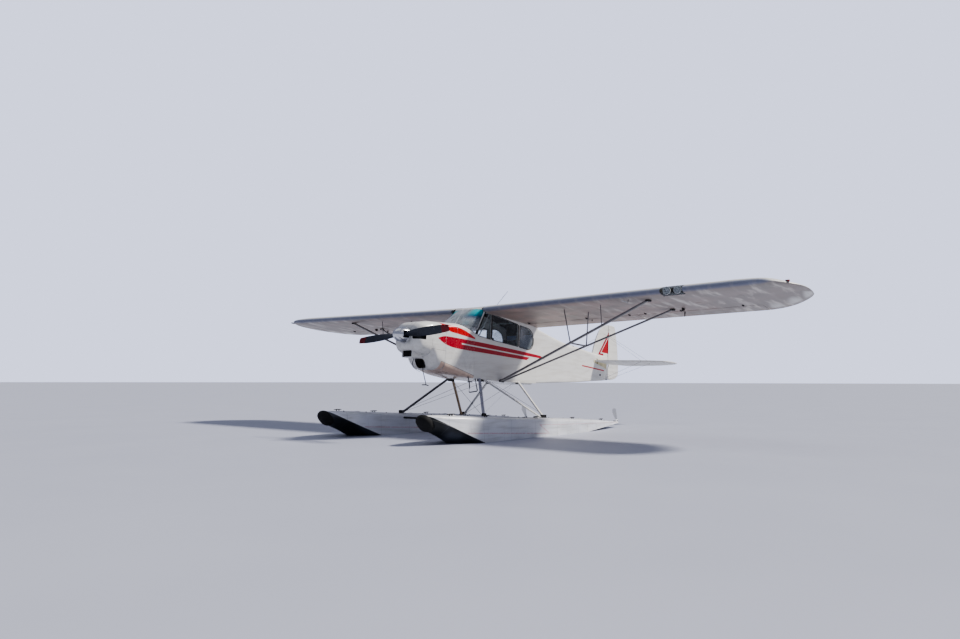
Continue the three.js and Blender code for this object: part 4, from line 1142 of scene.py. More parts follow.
# Columns: x, keel z, chine z, deck z, half width at the chine, half width at the deck
FORE_FLOAT = [
    (2165, 568, 640, 692, 62, 70), (2060, 490, 632, 696, 146, 146), (1860, 405, 556, 691, 235, 222),
    (1560, 258, 427, 673, 308, 290), (1240, 108, 303, 652, 345, 325), (900, 20, 237, 635, 360, 345),
    (300, 0, 185, 604, 365, 350), (STEP_X, 0, 160, 560, 360, 345),
]
AFT_FLOAT = [
    (STEP_X, 85, 215, 560, 355, 345), (-1500, 185, 290, 516, 310, 300), (-2400, 285, 352, 458, 215, 210),
    (-3000, 345, 382, 412, 105, 100), (-3165, 365, 390, 402, 60, 56),
]
ALL_FLOAT = FORE_FLOAT + AFT_FLOAT[1:]


def float_half(row):
    """Half of a section, from the keel to the middle of the deck, as y and z"""
    x, keel, chine, deck, chine_half, deck_half = row
    keel_half = min(20, chine_half / 3)
    round_ = min(46, (deck - chine) * 0.4)
    crown = min(14, deck_half * 0.05)
    half = [(0, keel), (keel_half, keel)]
    for t in steps(0, 1, 6)[1:]:
        flare = -math.sin(math.pi * t) * (chine - keel) * 0.03
        half.append((keel_half + (chine_half - keel_half) * t, keel + (chine - keel) * t + flare))
    rail = min(10, chine_half * 0.05) if x > STEP_X else 3
    half += [(chine_half + rail, chine - rail * 0.7), (chine_half + rail, chine), (chine_half, chine + 6)]
    for t in steps(0, 1, 5)[1:]:
        y = chine_half + (deck_half - chine_half) * min(1, t * 1.3)
        half.append((y, chine + 6 + (deck - round_ - chine - 6) * t))
    half += [(deck_half - round_ + round_ * math.cos(a), deck - round_ + round_ * math.sin(a))
             for a in steps(0, math.pi / 2, 6)[1:]]
    half += [((deck_half - round_) * (1 - t), deck + crown * (1 - (1 - t) ** 2)) for t in steps(0, 1, 4)[1:]]
    return half


def float_ring(row, hand):
    half = float_half(row)
    ring = half + [(-y, z) for y, z in half[-2:0:-1]]
    return [gear(row[0], hand * FLOAT_Y + y, z) for y, z in ring]


def make_float(hand):
    stations = steps(2165, 1240, 20)[:-1] + steps(1240, STEP_X, 30)
    fore = loft([float_ring(blended(FORE_FLOAT, x), hand) for x in stations])
    aft = loft([float_ring(blended(AFT_FLOAT, x), hand) for x in steps(STEP_X - 0.2, -3165, 30)])
    tongue = box_shell((-3222, -3140), (hand * FLOAT_Y + 6, hand * FLOAT_Y + 16), (370, 448), gear)
    return [fore, aft, tongue]


def float_point(x, share, hand, outward, lift=0.0):
    """A point on a float's side, share 0 at the chine and 1 at the deck's edge, and its normal"""
    _, _, chine, deck, chine_half, deck_half = blended(ALL_FLOAT, x)
    y = chine_half + (deck_half - chine_half) * share
    z = chine + (deck - chine) * share
    return gear(x, hand * FLOAT_Y + outward * (y + lift), z), Vector((0, outward, 0.05))


for side, hand in SIDES:
    piece(f"float_hull_{side}", make_float(hand), "float", replaces=(f"float_{side}",), crease=30)


# Tail surfaces, cloth over thin frames with round edges
def round_edge(distance, half):
    """Share of the full thickness at a distance from a round edge"""
    return math.sqrt(max(1 - (1 - min(distance / half, 1)) ** 2, 0.0))


def cloth_ring(a, b, half, dip):
    """Half-thickness along a chord from a to b: round at both ends, sunk between frame members"""
    width = abs(b - a)
    ends = [0, 0.06, 0.25, 0.6, 1.0]
    inset = [min(e * half, width * 0.45) for e in ends]
    inner = steps(inset[-1], width - inset[-1], 12)[1:-1]
    rows = []
    for p in inset + inner + [width - i for i in reversed(inset)]:
        edge = min(p, width - p)
        thick = half * round_edge(edge, half)
        sunk = dip * abs(math.sin(math.pi * p / max(width, 1))) if edge > half else 0
        rows.append((a + (b - a) * p / max(width, 1), max(thick - sunk, 0.2)))
    return rows + [(c, -w) for c, w in rows[-2:0:-1]]


def cloth_panel(stations, half, at, rib_first, rib_pitch):
    """A closed surface from stations of span, chord start and chord end, rounded at both ends of the span"""
    low, high = stations[0][0], stations[-1][0]
    rings = []
    for s, a, b in stations:
        thin = max(round_edge(min(s - low, high - s), half), 0.04)
        bay = ((s - rib_first) / rib_pitch) % 1
        rings.append([at(c, s, w * thin) for c, w in cloth_ring(a, b, half, 2.2 * 4 * bay * (1 - bay))])
    return loft(rings)


def quad(start, bend, end, count=10):
    """Points on a curve between two ends, drawn towards a bend"""
    return [tuple((1 - t) ** 2 * p + 2 * t * (1 - t) * q + t * t * r for p, q, r in zip(start, bend, end))
            for t in steps(0, 1, count)]


def edge_at(outline, s):
    """Chordwise place of an edge at span s; the outline's points are chord and span"""
    points = sorted(outline, key=lambda p: p[1])
    for (c0, s0), (c1, s1) in zip(points, points[1:]):
        if s <= s1:
            return c0 + (c1 - c0) * max(s - s0, 0) / max(s1 - s0, 1e-6)
    return points[-1][0]


def spans(low, high, half, count, notches=()):
    """Span stations with a rounded start and end, and pairs at the sides of notches"""
    ends = [0, 0.08 * half, 0.3 * half, 0.62 * half, half]
    places = [low + e for e in ends] + steps(low + half, high - half, count)[1:-1]
    places += [high - e for e in reversed(ends)]
    for start, end in notches:
        places = [p for p in places if not start - 1 < p < end + 1]
        places += [start - 0.25, start + 0.25, end - 0.25, end + 0.25]
    return sorted(places)


FIN_FRONT = [(-4120, -330), (-4150, -300)] + quad((-4165, -290), (-4240, -60), (-4330, 80)) + quad(
    (-4330, 80), (-4470, 330), (-4740, 385)) + [(-4806, 398)]
fin_rows = [(z, edge_at(FIN_FRONT, z), -4806) for z in spans(-330, 398, 15, 34)]
sternpost = loft([[air(-4786 + 20 * math.cos(a), 11 * math.sin(a), z) for a in circle(20)]
                  for z in (-826, -600, -330)])
RUDDER_REAR = [(-4960, 402)] + quad((-4990, 405), (-5060, 425), (-5098, 380)) + quad(
    (-5098, 380), (-5160, 290), (-5235, -60)) + quad((-5235, -60), (-5331.5, -560), (-5290, -680)) + quad(
    (-5290, -680), (-5200, -800), (-4960, -818))
RUDDER_HINGES, ELEVATOR_HINGES = (300, -120, -700), (300, 850, 1400)
HORN_GAP = (-550, -400)


def notches(hinges):
    return [(place - 4.6, place + 4.6) for place in hinges]


def notched(place, hinges):
    return any(low < place < high for low, high in notches(hinges))


def rudder_front(z):
    if HORN_GAP[0] < z < HORN_GAP[1]:
        return -4862
    return -4846 if notched(z, RUDDER_HINGES) else -4820


def tail_arm(x, root, place, at):
    """A tail hinge's arm, round at its rear end"""
    return plate_shell(round_end(x, 9) + [(root, -9), (root, 9)], place - 3.6, place + 3.6, at)


arms = [tail_arm(-4830, -4795, z, air) for z in RUDDER_HINGES]
fin = cloth_panel(fin_rows, 15, lengthwise, -300, 175)
piece("fin_skin", [fin, sternpost] + arms, "upright", replaces=("fin",))
rudder_rows = [(z, rudder_front(z), edge_at(RUDDER_REAR, z))
               for z in spans(-820, 402, 16, 44, notches(RUDDER_HINGES) + [HORN_GAP])]
rudder = cloth_panel(rudder_rows, 16, lengthwise, -820, 204)
piece("rudder_skin", [rudder], "upright", "rudder_body", ("rudder",))

TAIL_Z = -475
STABILIZER_FRONT = [(-4020, 12), (-4180, 600), (-4330, 1150), (-4450, 1420), (-4600, 1560), (-4775, 1607)]
ELEVATOR_REAR = [(-4860, 62), (-4960, 150), (-5235, 330), (-5235, 900)] + quad(
    (-5235, 900), (-5220, 1150), (-5060, 1450)) + quad((-5060, 1450), (-4960, 1600), (-4880, 1607))


def smooth_front(y):
    return -blended([(y0, -x0) for x0, y0 in STABILIZER_FRONT], y)[1]


for side, hand in SIDES:
    def flat(c, s, w):
        return air(c, hand * s, TAIL_Z + w)
    rows = [(y, smooth_front(y), -4775) for y in spans(12, 1604, 17, 36)]
    arms = [tail_arm(-4796, -4765, y, lambda u, v, w: flat(u, w, v)) for y in ELEVATOR_HINGES]
    panel = cloth_panel(rows, 17, flat, 12, 230)
    piece(f"stabilizer_skin_{side}", [panel] + arms, "tail", replaces=(f"stabilizer_{side}",))
    rows = [(y, -4811 if notched(y, ELEVATOR_HINGES) else -4792, edge_at(ELEVATOR_REAR, y))
            for y in spans(62, 1604, 14, 40, notches(ELEVATOR_HINGES))]
    panel = cloth_panel(rows, 14, flat, 62, 230)
    piece(f"elevator_skin_{side}", [panel], "tail", "elevator_body", (f"elevator_{side}",))


# The lamps in the light bay, and their cover
def nose_sheet(low_y, high_y, x_back, lift):
    """A sheet that follows the port wing's nose, closed with its inner face"""
    xs = [x_back * (i / 12) ** 1.8 for i in range(13)]
    rings = []
    for y in steps(low_y, high_y, 8):
        top, bottom = ([(x, wing_z(x, y, side)) for x in xs] for side in (1, -1))
        outline = top[::-1] + bottom[1:]
        middle_x = x_back * 0.6
        middle_z = (wing_z(middle_x, y, 1) + wing_z(middle_x, y, -1)) / 2
        ring = []
        for depth in (lift, lift - 3):
            moved = []
            for x, z in outline:
                away = Vector((x - middle_x, z - middle_z)).normalized()
                moved.append(air(x + away.x * depth, y, z + away.y * depth))
            ring += moved if depth == lift else moved[::-1]
        rings.append(ring)
    return loft(rings)


def shaft(x, y, z, at=air):
    """For a shape turned about an axis along X"""
    return lambda a, u, v: at(x + a, y + u, z + v)


def axle(x, z, at=air):
    """For a shape turned about an axis along Y"""
    return lambda a, u, v: at(x + u, a, z + v)


def post(x, y, at=air):
    """For a shape turned about an upright axis"""
    return lambda a, u, v: at(x + u, y + v, a)


piece("light_cover", [nose_sheet(BAY_Y[0] + 2, BAY_Y[1] - 2, -146, -0.5)], "clear",
      replaces=("landing_light",))
BOWL = [(-120, 4), (-112, 30), (-92, 50), (-66, 58), (-60, 58), (-60, 54), (-66, 54), (-90, 46), (-108, 27),
        (-114, 4)]
LENS_EDGE = [(-64, 1), (-60, 30), (-62, 53), (-66, 53), (-65, 30), (-68, 1)]
for k, y in enumerate((3640, 3800)):
    at = shaft(0, y, wing_z(-60, y, 1) * 0.5 + wing_z(-60, y, -1) * 0.5)
    piece(f"lamp_bowl_{k + 1}", [lathe(BOWL, 32, at)], "lamp")
    piece(f"lamp_lens_{k + 1}", [lathe(LENS_EDGE, 32, at)], "lens")


def blob(centre, size, at=air, turn=None, rows=14, count=24, power=1.0):
    """A rounded closed form; power under 1 squares it"""
    rings = []
    for a in steps(-math.pi / 2, math.pi / 2, rows):
        ring = []
        for b in circle(count):
            c = [math.sin(a), math.cos(a) * math.cos(b), math.cos(a) * math.sin(b)]
            c = [math.copysign(abs(v) ** power, v) * s for v, s in zip(c, size)]
            if abs(a) > math.pi / 2 - 0.001:
                c = [c[0], c[1] + 0.02 * math.cos(b), c[2] + 0.02 * math.sin(b)]
            local = Vector(c) if turn is None else turn @ Vector(c)
            ring.append(at(centre[0] + local.x, centre[1] + local.y, centre[2] + local.z))
        rings.append(ring)
    return loft(rings)


for side, hand in SIDES:
    centre = (-185, hand * 5218, 62)
    piece(f"tip_lamp_base_{side}", [blob(centre, (62, 16, 13), power=0.8)], "steel")
    piece(f"tip_lamp_{side}", [blob((centre[0] + 22, hand * 5240, 66), (30, 15, 12))],
          "red_lens" if hand > 0 else "green_lens")


# Nose: chin intake, exhaust, vent tube, breather, outlet lip
intake = rounded_box((1108, 1240, 1300, 1338, 1345), (-112, 112), (-958, -838), 26, hollow=12)
piece("chin_intake", [intake], "cowl")
screen = rounded_box((1312, 1328), (-101, 101), (-947, -849), 14)
piece("chin_filter", [screen], "filter")
STACK = [(1030, 60, -760), (1030, 60, -880), (1022, 62, -950), (1002, 65, -1005), (985, 66, -1034),
         (974, 67, -1062)]
VENT = [(1022, 40, -1080), (1013, 42, -1142), (985, 42, -1205), (950, 42, -1290), (927, 42, -1341),
        (924, 42, -1352)]
FOOT = [(1010, 42, -1360), (930, 42, -1354), (870, 42, -1362)]
BREATHER = [(1180, -12, -960), (1200, -12, -1040), (1180, -14, -1096), (1100, -16, -1132), (1010, -18, -1158)]
OUTLET_LIP = [(990 + 6 * (1 - (y / 100) ** 2), y, -1096 - 3 * (1 - (y / 100) ** 2))
              for y in steps(-100, 100, 20)]
round_tubes("exhaust_stack", [route(STACK, FORWARD)], "burnt", 0.052, 20)
round_tubes("vent_tube", [route(VENT, FORWARD)], "steel", 0.013)
round_tubes("vent_foot", [route(FOOT, UP)], "steel", 0.015)
round_tubes("breather", [route(BREATHER, FORWARD)], "steel", 0.011)
round_tubes("outlet_lip", [route(OUTLET_LIP, UP)], "cowl", 0.012)


# Float gear: struts, bars, wires
FITTINGS = {"front": (-40, 330, -1162), "rear": (-1095, 330, -1132)}
DECK_X = {"front": 640, "rear": -990}


def deck_z(x):
    return blended(ALL_FLOAT, x)[3]


def leg_ends(start, end, hand, shift=(0, 0)):
    x, y, z = FITTINGS[start]
    top = air(x + shift[0], hand * y, z)
    low = gear(DECK_X[end] + shift[1], hand * 920, deck_z(DECK_X[end]) + 2)
    return top, low


def pinned_lugs(x, y, z, half, gap, pin_z, at):
    """Two plates and the pin through them; z is their low and high edge"""
    plates = [rounded_box((x - half, x + half), (y + low, y + low + 5), z, 2, at) for low in (-gap - 5, gap)]
    return plates + [lathe([(y - gap - 11, 8), (y + gap + 11, 8)], 12, axle(x, pin_z, at))]


for side, hand in SIDES:
    port = hand > 0
    # The legs share one paint: the port front leg's blue-grey and the starboard front leg's near-black are
    # painted shade, the starboard diagonal's tan partly painted sunlight and partly dirt
    legs = (("front", "front", "front", (0, 0), "leg" if port else "dark_leg", 0.072, 0.032),
            ("rear", "rear", "rear", (0, 0), "sheet", 0.062, 0.03),
            ("diagonal", "front", "rear", (-60, 60), "sheet" if port else "tan_leg", 0.058 if port else 0.07,
             0.028))
    for name, start, end, shift, finish, wide, thin in legs:
        run = line(*leg_ends(start, end, hand, shift), SIDE_ON)
        tubes(f"float_leg_{name}_{side}", [run], finish, wide=wide, thin=thin,
              replaces=(f"float_strut_{name}_{side}",))
    fittings = []
    for x, y in ((640, 920), (-990, 920), (-930, 920)):
        y, z = hand * y, deck_z(x)
        base = (x - 62, x - 50, x + 50, x + 62), (y - 26, y + 26), (z - 4, z + 9)
        fittings.append(rounded_box(*base, 8, gear))
        fittings += pinned_lugs(x, y, (z + 2, z + 62), 34, 16, z + 42, gear)
    for name, shifts in (("front", (0, -60)), ("rear", (0,))):
        x, y, z = FITTINGS[name]
        for shift in shifts:
            fittings += pinned_lugs(x + shift, hand * y, (z - 62, z + 8), 30, 17, z - 34, air)
    hardware(f"leg_fittings_{side}", fittings)

wires = []
for hand in (1, -1):
    for name, forward in (("front", 0.05), ("rear", -0.05)):
        top, low = leg_ends(name, name, hand)[0], leg_ends(name, name, -hand)[1]
        wires.append(line(top, low + Vector((forward, 0, 0.03)), SIDE_ON, 2))
    wires.append(line(leg_ends("rear", "rear", hand)[0], gear(700, hand * 900, deck_z(700) + 6), SIDE_ON, 2))
round_tubes("gear_wires", wires, "wire", 0.0055, 8)
for name, x in (("front", 730), ("rear", -900)):
    z = deck_z(x - 90) - 55
    bar = [(gear(x, y, z), SIDE_ON) for y in steps(-745, 745, 12)]
    tubes(f"spreader_{name}", [bar], "bars", wide=0.052, thin=0.03, replaces=(f"spreader_bar_{name}",))


# Bow bumpers, deck fittings, water rudders
for side, hand in SIDES:
    turn = Matrix.Rotation(math.radians(42), 3, "Y")
    cap = blob((2106, hand * FLOAT_Y, 596), (80, 132, 136), gear, turn, rows=24, count=40, power=0.82)
    piece(f"bumper_{side}", [cap], "rubber", replaces=(f"bow_bumper_{side}",))
    deck = []
    for x in (1500, 300, -600, -1900):
        z = deck_z(x) + 12
        lid = [(z - 4, 44), (z + 3, 44), (z + 6, 38), (z + 6, 20), (z + 9, 18), (z + 9, 1)]
        deck.append(lathe(lid, 32, post(x, hand * (FLOAT_Y - 40), gear)))
    piece(f"hatches_{side}", deck, "cover", crease=30)
    small = []
    for x in (1750, 980, -300, -1380, -2500):
        y, z = hand * (FLOAT_Y + (150 if x > -2000 else 60)), deck_z(x) + 6
        small += [lathe([(z - 6, 9), (z + 22, 7)], 12, post(x + dx, y, gear)) for dx in (-26, 26)]
        small.append(blob((x, y, z + 26), (84, 11, 8), gear))
    for x in steps(1850, -2850, 11):
        _, _, _, deck_top, _, deck_half = blended(ALL_FLOAT, x)
        y = hand * FLOAT_Y - hand * deck_half * 0.55
        small.append(blob((x, y, deck_top + 10), (11, 11, 9), gear, rows=8, count=14))
    hardware(f"cleats_{side}", small)


# Outline of a raised water rudder: x, z
RUDDER_PLAN = [(-3216, 392), (-3222, 440), (-3208, 520), (-3188, 600), (-3170, 650), (-3140, 656),
               (-3075, 655), (-3060, 640), (-3050, 580), (-3095, 520), (-3150, 465), (-3172, 440),
               (-3180, 392)]
PIVOT_X, PIVOT_Z = -3197, 420
for side, hand in SIDES:
    y = hand * FLOAT_Y
    blade = plate_shell(RUDDER_PLAN, -2.6, 2.6, lambda u, v, w: gear(u, y + w, v))
    rib = rounded_box((-3208, -3186), (y - 5, y + 5), (396, 470), 3, gear)
    piece(f"water_rudder_blade_{side}", [blade, rib], "metal", f"water_rudder_{side}_body",
          (f"water_rudder_{side}",), crease=20)
    yoke = [rounded_box((-3150, -3060), (y + 7, y + 15), (404, 424), 3, gear),
            lathe([(y - 12, 9), (y - 10, 12), (y + 18, 12), (y + 20, 9)], 16, axle(PIVOT_X, PIVOT_Z, gear))]
    hardware(f"stern_yoke_{side}", yoke)


# Sheets and frames for the cabin
def sheet(outer, inner):
    """A closed thin sheet from two grids of points"""
    rows, columns = len(outer), len(outer[0])
    points = [p for row in outer for p in row] + [p for row in inner for p in row]
    back = rows * columns
    faces = []
    for i in range(rows - 1):
        for j in range(columns - 1):
            a = i * columns + j
            faces.append((a, a + 1, a + columns + 1, a + columns))
            faces.append((back + a + columns, back + a + columns + 1, back + a + 1, back + a))
    rim = [(0, j) for j in range(columns)] + [(i, columns - 1) for i in range(1, rows)]
    rim += [(rows - 1, j) for j in range(columns - 2, -1, -1)] + [(i, 0) for i in range(rows - 2, 0, -1)]
    for (a, b), (c, d) in zip(rim, rim[1:] + rim[:1]):
        first, second = a * columns + b, c * columns + d
        faces.append((first, second, back + second, back + first))
    return points, faces


def bent(place, rows, columns, depths):
    """A closed sheet over the points place(row, column, depth), between two depths"""
    return sheet(*[[[place(r, c, d) for c in columns] for r in rows] for d in depths])


def grown(outline, reach):
    """A convex outline moved outwards, corners mitred"""
    centre = Vector((sum(p[0] for p in outline), sum(p[1] for p in outline))) / len(outline)
    result = []
    for k, point in enumerate(outline):
        here = Vector(point)
        before, after = here - Vector(outline[k - 1]), Vector(outline[(k + 1) % len(outline)]) - here
        normals = []
        for edge in (before, after):
            normal = Vector((edge.y, -edge.x)).normalized()
            normals.append(normal if normal.dot(here - centre) > 0 else -normal)
        both = (normals[0] + normals[1]).normalized()
        result.append(tuple(here + both * reach / max(both.dot(normals[0]), 0.5)))
    return result


def frame_shell(outline, inward, outward, low, high, at):
    """A flat frame round an opening"""
    inner, outer = grown(outline, -inward), grown(outline, outward)
    rings = [(inner, low), (outer, low), (outer, high), (inner, high)]
    return loft([[at(u, v, w) for u, v in ring] for ring, w in rings], caps=False, round_trip=True)


def wall_at(hand):
    """Place of a flat shape on a cabin side: outline in X and Z, depth outwards"""
    return lambda u, v, w: air(u, hand * w, v)


def round_corners(outline, radius, count=4):
    """An outline with its corners cut by curves"""
    result = []
    for k, point in enumerate(outline):
        here = Vector(point)
        to_last, to_next = Vector(outline[k - 1]) - here, Vector(outline[(k + 1) % len(outline)]) - here
        reach = min(radius, to_last.length * 0.45, to_next.length * 0.45)
        start, end = here + to_last.normalized() * reach, here + to_next.normalized() * reach
        result += quad(start, here, end, count)
    return result


# Windows, with their rubber beads and frames
WINDOW_TOP = [(-1010, -138), (-262, -62), (-117, -22)]


def window_top(x):
    """The windows' upper edge, steeper ahead of its middle corner"""
    (x0, z0), (x1, z1) = WINDOW_TOP[:2] if x <= WINDOW_TOP[1][0] else WINDOW_TOP[1:]
    return z0 + (z1 - z0) * (x - x0) / (x1 - x0)


def curve_points(start, bend_a, bend_b, end, count=16):
    weights = [((1 - t) ** 3, 3 * t * (1 - t) ** 2, 3 * t * t * (1 - t), t ** 3) for t in steps(0, 1, count)]
    corners = list(zip(start, bend_a, bend_b, end))
    return [tuple(sum(w * c for w, c in zip(row, axis)) for axis in corners) for row in weights]


FRONT_WINDOW = [(98, -440), (-105, window_top(-105)), (-248, window_top(-248)), (-254, -492), (60, -470)]
MIDDLE_WINDOW = [(-282, window_top(-282)), (-1005, window_top(-1005)), (-1030, -528), (-290, -498)]
REAR_BEND = curve_points((-1290, -165), (-1560, -190), (-1560, -540), (-1330, -552))
REAR_WINDOW = [(-1072, -147)] + REAR_BEND + [(-1081, -535)]
DOOR_LIGHT = round_corners([(-312, -190), (-1008, -190), (-1008, -470), (-312, -470)], 22)
# Inward and outward reach of a bead, then its depths in the wall: outside, inside
BEADS = ((4, 8, 359.4, 361.8), (7, 3, 333.6, 336.4))
# Bars between the port windows: outline, depths; the last one is the sliding pane's edge
BARS = (([(-247, -62), (-283, -68), (-291, -497), (-255, -492)], 360.1, 361.6),
        ([(-1006, -141), (-1036, -145), (-1052, -528), (-1031, -527)], 360.1, 361.6),
        ([(-1052, -147), (-1064, -148), (-1078, -532), (-1066, -531)], 360.1, 361.2),
        ([(-688, -108), (-700, -109), (-712, -511), (-700, -511)], 350.6, 353.6))


def windows_of(hand):
    middle = [round_corners(MIDDLE_WINDOW, 18)] if hand > 0 else []
    return [round_corners(FRONT_WINDOW, 14)] + middle + [REAR_WINDOW]


def beads(outlines, hand):
    return [frame_shell(outline, *bead, wall_at(hand)) for bead in BEADS for outline in outlines]


for side, hand in SIDES:
    piece(f"window_beads_{side}", beads(windows_of(hand), hand), "trim", crease=30)
    pillar = [(145, -462), (100, -444), (-106, -21), (-102, 6), (-88, -8)]
    parts = [plate_shell(pillar, 333.4, 361.8, wall_at(hand))]
    parts += [plate_shell(*bar, wall_at(hand)) for bar in BARS if hand > 0]
    piece(f"pillar_trim_{side}", parts, "trim", crease=30)
piece("door_light_bead", beads([DOOR_LIGHT], -1), "trim", "door_upper_body", crease=30)

# Windshield, bent from one sheet, with its base strip, and the fairing over it
# At its base and at its top: x in the middle, x at the sides, z in the middle, z at the sides, half width
SCREEN = ((520, 150, -325, -445, 334.5), (8, -92, 8, -15, 334.5))


def screen_point(share, angle, inward=0.0):
    front_x, side_x, front_z, side_z, half = (a + (b - a) * share for a, b in zip(*SCREEN))
    along = max(math.cos(angle), 0) ** 0.8
    bulge = 10 * math.sin(math.pi * min(max(share, 0), 1)) * along
    x = side_x + (front_x - side_x) * along - inward + bulge
    return air(x, (half - inward) * math.sin(angle), side_z + (front_z - side_z) * along)


def brow_point(share, angle, lift):
    """On the fairing between the windshield's top and the wing"""
    start, end = screen_point(0.985, angle, -2), air(-104, 334 * math.sin(angle), wing_z(-104, 0, 1) - 3)
    return start.lerp(end, share) + along_air(0, 0, 14 * math.sin(math.pi * share) + lift)


ACROSS = steps(-math.pi / 2, math.pi / 2, 36)
shield = bent(screen_point, steps(0, 1, 12), ACROSS, (0, 4))
piece("windshield_sheet", [shield], "screen", replaces=("windshield",))
strip = bent(screen_point, (-0.03, 0.035), ACROSS, (-1.6, 5))
piece("windshield_strip", [strip], "trim", crease=30)
piece("brow_fairing", [bent(brow_point, steps(0, 1, 8), ACROSS, (0, -3))], "sheet")
for side, hand in SIDES:
    ear = [(-6, -14), (-100, -16), (-112, 20), (-104, 50), (-60, 38), (-20, 14)]
    piece(f"root_ear_{side}", [plate_shell(ear, 335, 361.4, wall_at(hand))], "trim")

# Roof skin with the skylight in it
def roof_point(x, y, depth):
    return air(x, y, wing_z(x, 0, 1) - depth)


roof = bent(roof_point, steps(-100, -1619.7, 44), steps(-334.7, 334.7, 12), (4, 10))
roof_mesh = cut_out([roof], [box_shell((-610, -170), (-270, 270), (-200, 300))])
placed("roof_skin", roof_mesh, ("sheet", "sheet"), replaces=("cabin_roof",))
pane = bent(roof_point, steps(-171, -609, 20), steps(-269, 269, 6), (5, 9))
piece("skylight_pane", [pane], "skylight", replaces=("skylight",))
SKYLIGHT = [(-170, -270), (-170, 270), (-610, 270), (-610, -270)]
roof_edge = frame_shell(SKYLIGHT, 8, 18, 4.2, 2, roof_point)
hardware("skylight_frame", [roof_edge])
ceiling = bent(roof_point, steps(-150, -1590, 24), steps(-331, 331, 6), (22, 27))
lining = cut_out([ceiling], [box_shell((-600, -180), (-262, 262), (-300, 300))])
placed("headliner", lining, ("lining", "lining"))

# Boot cowl
BOOT = [(140, 358, -318, -1188, 120, 90, 30), (560, 354, -326, -1160, 130, 95, 98),
        (828, 338, -345, -1104, 150, 105, 110)]
SCREEN_SLOPE = (-330 + 452) / (542 - 137)


def sill_z(x):
    """The boot cowl's upper edge, along the foot of the windshield"""
    return -452 + (x - 137) * SCREEN_SLOPE


boot_rings = [body_ring(blended(BOOT, x), 0, 8) for x in steps(140, 828, 22)]
wedge = plate_shell([(0, sill_z(0)), (900, sill_z(900)), (900, 200), (0, 200)], -500, 500, lengthwise)
boot_mesh = cut_out([loft(boot_rings, caps=False)], [wedge], wall=0.003)
placed("boot_cowl_skin", boot_mesh, ("cowl", "cowl"), replaces=("boot_cowl",), crease=42)


def glare(x, share, drop):
    """The cover between the panel and the windshield's base"""
    forward = (x - 150) / 370
    half = 326 * math.sqrt(1 - forward ** 2.5) - 4
    crown = 42 * (1 - (x - 246) / 270)
    return air(x, half * share, -451 + 120 * forward + crown * (1 - share * share) - drop)


cover = bent(glare, steps(246, 512, 12), steps(-1, 1, 16), (0, 3))
piece("glare_cover", [cover], "lining", slot="black_plastic")


# Cabin frame of steel tubes
def rod(start, end, facing=SIDE_ON, count=2):
    return line(air(*start), air(*end), facing, count)


rods = [rod((x, -322, z), (x, 322, z), UP) for x, z in ((-250, -38), (-1042, -96))]
for hand in (1, -1):
    y = hand * 320
    rods += [rod((-245, y, -40), (5, y, -452)), rod((-262, y, -45), (-262, y, -1110)),
             rod((-1042, y, -120), (-1042, y, -1110)), rod((130, y, -470), (-255, y, -508), UP),
             rod((-1050, y, -545), (-1585, y, -575), UP), rod((-1050, y, -1100), (-1580, y, -580), UP),
             rod((-100, y, -32), (-1585, y, -110), UP, 4),
             rod((255, hand * 300, -455), (-250, hand * 14, -42), UP),
             rod((96, hand * 345, -438), (-112, hand * 345, -22), UP)]
    low = screen_point(0.04, hand * math.radians(28), 14)
    high = screen_point(0.97, hand * math.radians(-13), 14)
    rods.append(line(low, high, UP, 2))
round_tubes("cabin_tubes", rods, "primer", 0.023)


# Inner panels, floor mat and bulkhead
def mat_point(x, y, lift):
    return air(x, y, -1117 + lift + 1.5 * math.sin(x * 0.11) * math.sin(y * 0.13))


for side, hand in SIDES:
    shells = []
    for a, b in [(118, -1540)] if hand > 0 else [(118, -258), (-1062, -1540)]:
        panel = [(a, -516 if a > 0 else -566), (b, -578), (b, -1106), (a, -1106)]
        shells.append(plate_shell(round_corners(panel, 20), 331, 333.8, wall_at(hand)))
    piece(f"inner_panel_{side}", shells, "vinyl", crease=30)
leaf = round_corners([(-290, -520), (-1030, -520), (-1030, -970), (-290, -970)], 30)
door_panel = plate_shell(leaf, 332, 334.6, wall_at(-1))
piece("door_inner_panel", [door_panel], "vinyl", "door_lower_body", crease=30)
mat = bent(mat_point, steps(120, -1535, 60), steps(-318, 318, 24), (3, 0))
piece("floor_mat", [mat], "carpet")
# The rear bulkhead; its finish is lightened to stand in for light in the shaded cabin: painted light
bulkhead = round_corners([(-330, -1118), (330, -1118), (330, -138), (-330, -138)], 30)
piece("rear_bulkhead", [plate_shell(bulkhead, -1594, -1590, crosswise)], "bulkhead")
bulkhead_top = [(-331, -245), (331, -245), (331, -139), (-331, -139)]
piece("bulkhead_lining", [plate_shell(bulkhead_top, -1589.5, -1586, crosswise)], "lining")


# Seats: pads blown up by a short cloth run, over a tube frame
PAD_GRID, PAD_SWELL, PAD_FRAMES = 0.006, 0.022, 20


